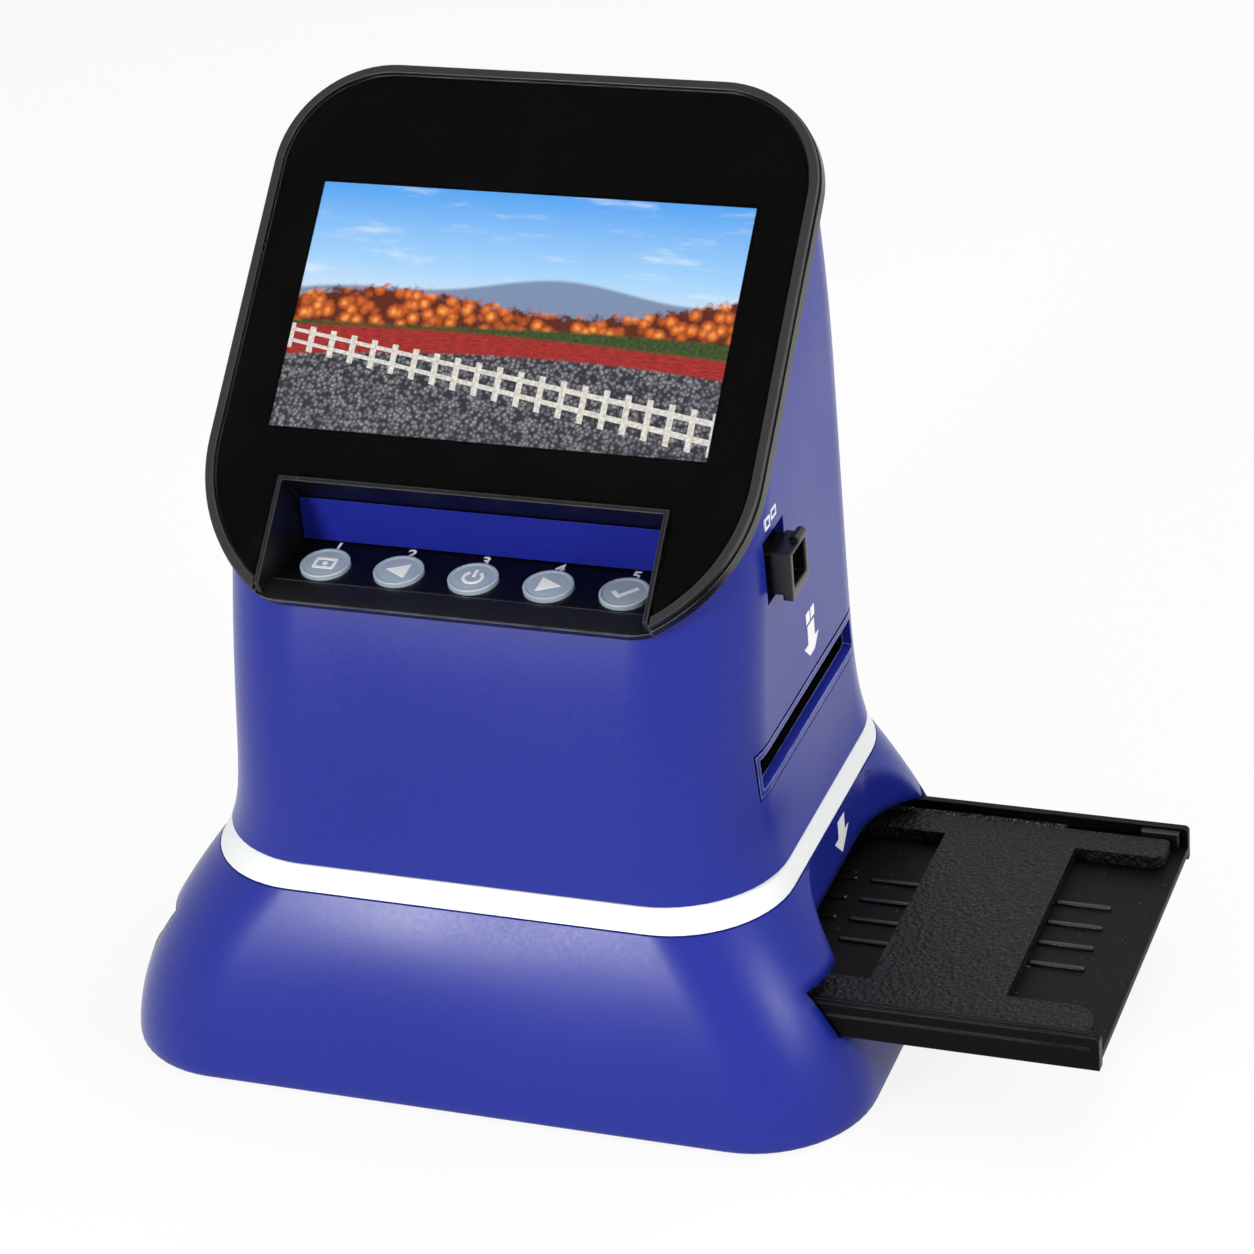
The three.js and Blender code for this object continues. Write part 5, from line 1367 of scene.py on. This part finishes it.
# %% Ribs
BAND_WIDTH, BAND_INSET = 33.5, 22.3
PLATE_X = (6.2, 149.0)
BANDS = (PLATE_X[0] + BAND_INSET, PLATE_X[1] - BAND_INSET - BAND_WIDTH)
RIB_LONG, RIB_WIDE, RIB_HIGH, RIB_SUNK, RIB_STEP = 14, 1.5, 0.8, 0.4, 9.1
middle_y = (TRAY_Y[0] + TRAY_Y[1]) / 2
ribs = []
for x in [x for band in BANDS for x in (band - RIB_LONG, band + BAND_WIDTH)]:
    for row in (-1.5, -0.5, 0.5, 1.5):
        y = middle_y + row * RIB_STEP
        low = (x, y - RIB_WIDE / 2, FLOOR[1] - RIB_SUNK)
        high = (x + RIB_LONG, y + RIB_WIDE / 2, FLOOR[1] + RIB_HIGH)
        ribs.append(round_edges(rounded_plate(low, high, 0.7, 5), 0.45, 4, 50))
# Its grey edge colour paints a faint highlight along each rib.
rib_black = plastic("glossy rib", "0c0c0d", "58585a", 0.25, grain_depth=0.004, edges=0.4, specular=0.4)
done(soften(joined(*ribs)), "tray_ribs", rib_black, "tray")

# %% [markdown]
# ## Stippled skin
# The plate that holds the film has a coarse, glinting grain, as leathery moulds give. Real dents in the
# mesh would take millions of faces. Round cells and a noise make the height of the grain together, and
# a second noise picks the few grains that glint: they get less roughness, and a lighter colour that is a
# painted glint.

# %% Stippled skin
flecks, taken, given = group("stippled skin", {"Scale": 900}, ["Height", "Painted Glint"])
where = object_place(flecks)
cells = node(flecks, "ShaderNodeTexVoronoi", Vector=where, Scale=taken["Scale"])
bumps = noise(flecks, taken["Scale"], 3.0, 0.6, where)
flecks.links.new(maths(flecks, "ADD", cells.outputs["Distance"], bumps), given["Height"])
# The mask of the grains that are made glossier and painted lighter as a painted glint.
flecks.links.new(spot(flecks, noise(flecks, 1700, 3.0, 0.7, where), 0.52, 0.68), given["Painted Glint"])


def stippled(name, dark, light, scale, depth):
    """A grainy plastic: its colour and gloss between the grains and on them, where the lighter colour is a
    painted glint, and the grain's depth in mm.
    """
    material, surface = shader(name, dark, 0.45, specular=0.14)
    tree = material.node_tree
    skin = effect(tree, flecks, Scale=scale)
    # Painted glint: the glinting grains take the lighter colour.
    tree.links.new(paint(tree, linear(dark), light, skin["Painted Glint"]), surface.inputs["Base Color"])
    shine = node(tree, "ShaderNodeMapRange", Value=skin["Painted Glint"], To_Min=0.5, To_Max=0.25)
    tree.links.new(shine.outputs["Result"], surface.inputs["Roughness"])
    bump = node(tree, "ShaderNodeBump", Strength=1.0, Distance=depth * MM, Height=skin["Height"])
    tree.links.new(bump.outputs["Normal"], surface.inputs["Normal"])
    return material


stipple = stippled("stippled plate", "030304", "323236", 700, 0.3)
rough = stippled("rough strip", "0e0e0f", "7d7d80", 420, 0.25)
print("stippled skin:", len(flecks.nodes), "nodes")

# %% [markdown]
# ## Plate that holds the film
# Two rails joined by cross bands lie in the tray, with a window for the film at each end and one in the
# middle. The plate could be traced with all its corners, but windows carved into a rounded plate are
# easier to move. The inner corners at its ends are large and smooth, so that film slides in.

# %% Film plate
PLATE_Y, PLATE_Z = (-49.3, 38.0), (26.1, 29.5)
RAILS_Y = (PLATE_Y[0] + 11.3, PLATE_Y[1] - 8.7)
END_RADII = (6, 3)
NEAR = 0.01 * MM
plate = rounded_plate((PLATE_X[0], PLATE_Y[0], PLATE_Z[0]), (PLATE_X[1], PLATE_Y[1], PLATE_Z[1]), 1.5, 5)
windows = ((PLATE_X[0] - 9, BANDS[0]), (BANDS[0] + BAND_WIDTH, BANDS[1]),
           (BANDS[1] + BAND_WIDTH, PLATE_X[1] + 9))
for x_from, x_to in windows:
    carve(plate, block((x_from, RAILS_Y[0], 20), (x_to, RAILS_Y[1], 40)))
for rail_y, radius in zip(RAILS_Y, END_RADII):
    edit(plate, "EDGE")
    pick(plate, lambda edge: all(abs(vert.co.y - rail_y * MM) < NEAR for vert in edge.verts)
         and min(abs(edge.verts[0].co.x - x * MM) for x in PLATE_X) < NEAR
         and abs(edge.verts[0].co.z - edge.verts[1].co.z) > MM, "edges")
    bpy.ops.mesh.bevel(offset=radius * MM, segments=8)
nothing_selected()
finished(plate, 0.6, 3, 40)
done(plate, "tray_film_plate", stipple, "tray", ["tray_plate"])

# %% [markdown]
# ## Strip and latch behind the plate
# In the groove between the plate and the rear wall lies a rough strip, and at its end a small latch.
# They are seen only as a band of light grains and a dark block, so plain rounded bars do. They are
# apart from the plate, because the real plate is lifted out without them.

# %% Rough strip and latch
strip = block((33, 38.4, 25.9), (121.9, 41.5, 28.6))
finished(strip, 0.4, 2, 40)
done(strip, "tray_groove_strip", rough, "tray")
latch = rounded_plate((141, 39.4, 25.9), (150.6, 41.5, 30.3), 0.6, 4)
finished(latch, 0.3, 2, 40)
done(latch, "tray_latch", black, "tray")

# %% [markdown]
# ## Finishes for the solids that stay
# Boards, brackets, lens and rails already have the right shape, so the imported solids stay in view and
# only get a real finish. Brushed steel is a noise stretched along one direction, a circuit board is a
# brick pattern in two greens, and a coated lens is clear with a faint tint.

# %% Steel, rubber and white plastic
steel, surface = shader("brushed steel", "b4b6b8", 0.32, metallic=1.0)
tree = steel.node_tree
stretched = node(tree, "ShaderNodeMapping", Vector=object_place(tree), Scale=(1, 1, 24)).outputs["Vector"]
brushed = noise(tree, 260, 3.0, 0.6, stretched)
gloss = node(tree, "ShaderNodeMapRange", Value=brushed, To_Min=0.22, To_Max=0.42)
tree.links.new(gloss.outputs["Result"], surface.inputs["Roughness"])
# Their edge colours paint a faint highlight along the edges as well.
rubber = plastic("rubber foot", "161616", "2b2b2b", 0.75, grain_scale=700, grain_depth=0.05, edges=0.4,
                 dustiness=0.5)
light_white = plastic("light box white", "e2e4e2", "f4f4f2", 0.5, edges=0.2)

# %% Circuit board and lens
circuit, surface = shader("circuit board", "1c5a34", 0.38, coat=0.3)
tree = circuit.node_tree
traces = node(tree, "ShaderNodeTexBrick", Vector=object_place(tree), Scale=180,
              Color1=linear("1c5a34"), Color2=linear("174c2c"), Mortar=linear("2f7a4a"))
tree.links.new(traces.outputs["Color"], surface.inputs["Base Color"])
lens_clear, surface = glass("coated lens", "e8eef4", 0.02, 1.52)
tree = lens_clear.node_tree
tint = tones(tree, noise(tree, 12, 2.0, 0.5, object_place(tree)), (0.3, "cfe0f2"), (0.7, "efe6f4"))
tree.links.new(tint, surface.inputs["Base Color"])

# %% Each solid's finish
FINISH = {
    "blue_plastic": blue, "white_plastic": light_white, "black_plastic": black, "dark_gloss": deck_gloss,
    "black_glass": print_black, "button_silver": button_silver, "black_texture": stipple, "rubber": rubber,
    "steel": steel, "circuit_green": circuit, "clear_lens": lens_clear,
}
for name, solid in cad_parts.items():
    for row in solid.material_slots:
        row.material = FINISH[row.material.name.split(".")[0]]
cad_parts["lcd_panel"].material_slots[0].material = print_black
print("solids kept in view:", sum(not solid.hide_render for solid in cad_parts.values()))

# %% [markdown]
# ## Base plate
# A black plate closes the base, and two rows of narrow slots in it let warm air move. The underside is
# not in the photograph, so it is kept as plain as such plates usually are. Thirty slots could be carved
# one by one, but every Boolean walks through the whole mesh, so they are joined to one tool first.

# %% Base plate
COVER_Z = (1.1, 3.5)
SCREW_HEAD, SCREW_SHANK, FOOT_RADIUS = 3, 1.3, 7
SCREWS = [(side * x, y) for x, y in ((83.43, -63.13), (82.84, 47.05)) for side in (-1, 1)]
FEET = [(side * 66, y) for y in (-48, 34) for side in (-1, 1)]
SLOT_STEP, SLOT_HALF_WIDE, SLOT_HALF_LONG = 5, 1, 9
underside_black = plastic("underside black", "0e0e0f", "3c3c3e", 0.5, grain_depth=0.02, edges=0.0,
                          specular=0.2)
cover = loft([(skirt_plan(COVER_Z[1], WALL + GAP), z) for z in COVER_Z])
for spot_xy in SCREWS:
    carve(cover, rod(SCREW_HEAD + GAP, spot_xy, 0, 2.5), rod(SCREW_SHANK + GAP, spot_xy, 0, 9))
for spot_xy in FEET:
    carve(cover, rod(FOOT_RADIUS + GAP, spot_xy, 0, 2))
air_slots = [rounded_plate((column * SLOT_STEP - SLOT_HALF_WIDE, row_y - SLOT_HALF_LONG, 0),
                           (column * SLOT_STEP + SLOT_HALF_WIDE, row_y + SLOT_HALF_LONG, 2.3), 0.99, 5)
             for row_y in (-34, 20) for column in range(-7, 8)]
carve(cover, joined(*air_slots))
finished(cover, 0.25, 2, 50)
done(cover, "base_plate", underside_black, nodes=["bottom_cover"])

# %% [markdown]
# ## Screws and feet
# Four cross-head screws sit in sunk holes, and four rubber feet with a ring groove keep the scanner
# from sliding. A cross could be a picture on the head, but two carved blocks give a real recess with
# shadow in it. The shank is joined on without cutting, because nobody sees where it enters the head.

# %% Screws
CROSS_LONG, CROSS_WIDE, CROSS_DEEP = 1.9, 0.4, 1.9
for number, (x, y) in enumerate(SCREWS, 1):
    screw = round_edges(rod(SCREW_HEAD, (x, y), COVER_Z[0], 2.2), 0.35, 3, 50)
    for half_x, half_y in ((CROSS_LONG, CROSS_WIDE), (CROSS_WIDE, CROSS_LONG)):
        carve(screw, block((x - half_x, y - half_y, 0), (x + half_x, y + half_y, CROSS_DEEP)))
    joined(screw, rod(SCREW_SHANK, (x, y), 2.1, 12.2))
    done(soften(screw), f"cross_screw_{number}", steel, nodes=[f"cover_screw_{number}"])

# %% Feet
RING_OUTER, RING_INNER, RING_DEEP = 5.2, 4.5, 0.35
for number, spot_xy in enumerate(FEET, 1):
    pad = round_edges(rod(FOOT_RADIUS, spot_xy, 0, 1.7, 64), 0.5, 4, 50)
    ring_cut = rod(RING_OUTER, spot_xy, -1, RING_DEEP, 64)
    carve(ring_cut, rod(RING_INNER, spot_xy, -2, 1, 64))
    carve(pad, ring_cut)
    done(soften(pad), f"rubber_pad_{number}", rubber, nodes=[f"foot_{number}"])

# %% [markdown]
# ## Floor
# A product photograph stands on white that runs out to pure white, with only a faint shadow. A very
# bright floor would do it, but it would flood the scanner with light from below. The floor glows only
# where the camera, a mirror or glass looks at it, and is a plain matt white for all other light.

# %% Floor
FLOOR_WHITE, FLOOR_GLOW = (0.92, 0.92, 0.92, 1), 0.88


def looked_at(tree):
    """1 for the camera's rays and for those that gloss or glass sends on, 0 for all others."""
    rays = node(tree, "ShaderNodeLightPath").outputs
    sent_on = maths(tree, "MAXIMUM", rays["Is Glossy Ray"], rays["Is Transmission Ray"])
    return maths(tree, "MAXIMUM", rays["Is Camera Ray"], sent_on)


floor_paint, matt = shader("floor", "ffffff", 1.0, specular=0.0)
matt.inputs["Base Color"].default_value = FLOOR_WHITE
tree = floor_paint.node_tree
bright = node(tree, "ShaderNodeEmission", Strength=1.0)
blend = node(tree, "ShaderNodeMixShader", Fac=product(tree, looked_at(tree), FLOOR_GLOW))
tree.links.new(matt.outputs[0], blend.inputs[1])
tree.links.new(bright.outputs[0], blend.inputs[2])
tree.links.new(blend.outputs[0], tree.nodes["Material Output"].inputs["Surface"])
nothing_selected()
bpy.ops.mesh.primitive_plane_add(size=8)
floor = bpy.context.object
floor.name = "floor"
floor.data.materials.append(floor_paint)
print("floor:", [round(side) for side in floor.dimensions[:2]], "m")

# %% [markdown]
# ## Sky and lamps
# The sky is white to look at, but gives only part of that light. Alone it would light all sides alike
# and the scanner would look flat. Three soft lamps shape it: one high above and behind draws the top
# edges, one low in front on the left draws the broad light on the shoulder of the base, and one on the
# right opens the shadow side.

# %% Sky
SKY_LIGHT, SKY_SEEN = 0.4, 1.0
world = bpy.data.worlds.new("studio")
bpy.context.scene.world = world
world.use_nodes = True
tree = world.node_tree
sky = tree.nodes["Background"]
sky.inputs["Color"].default_value = (1, 1, 1, 1)
strength = node(tree, "ShaderNodeMapRange", Value=looked_at(tree), To_Min=SKY_LIGHT, To_Max=SKY_SEEN)
tree.links.new(strength.outputs["Result"], sky.inputs["Strength"])


# %% Lamps
def lamp(name, place, target, size, power):
    """A square soft lamp that faces a point. Places and size are in millimetres, power in watts."""
    light = bpy.data.lights.new(name, "AREA")
    light.shape, light.size, light.energy = "SQUARE", size * MM, power
    holder = bpy.data.objects.new(name, light)
    bpy.context.scene.collection.objects.link(holder)
    place, target = Vector(place) * MM, Vector(target) * MM
    facing = (target - place).to_track_quat("-Z", "Y").to_matrix().to_4x4()
    holder.matrix_world = Matrix.Translation(place) @ facing
    print(f"{name}: {power} W, {round((target - place).length / MM)} mm away")


lamp("top_softbox", (250, 350, 1000), (0, 0, 80), 500, 4)
lamp("front_softbox", (-330, -910, 410), (0, 0, 80), 200, 6.4)
lamp("right_softbox", (860, -300, 520), (0, 0, 60), 260, 3.6)
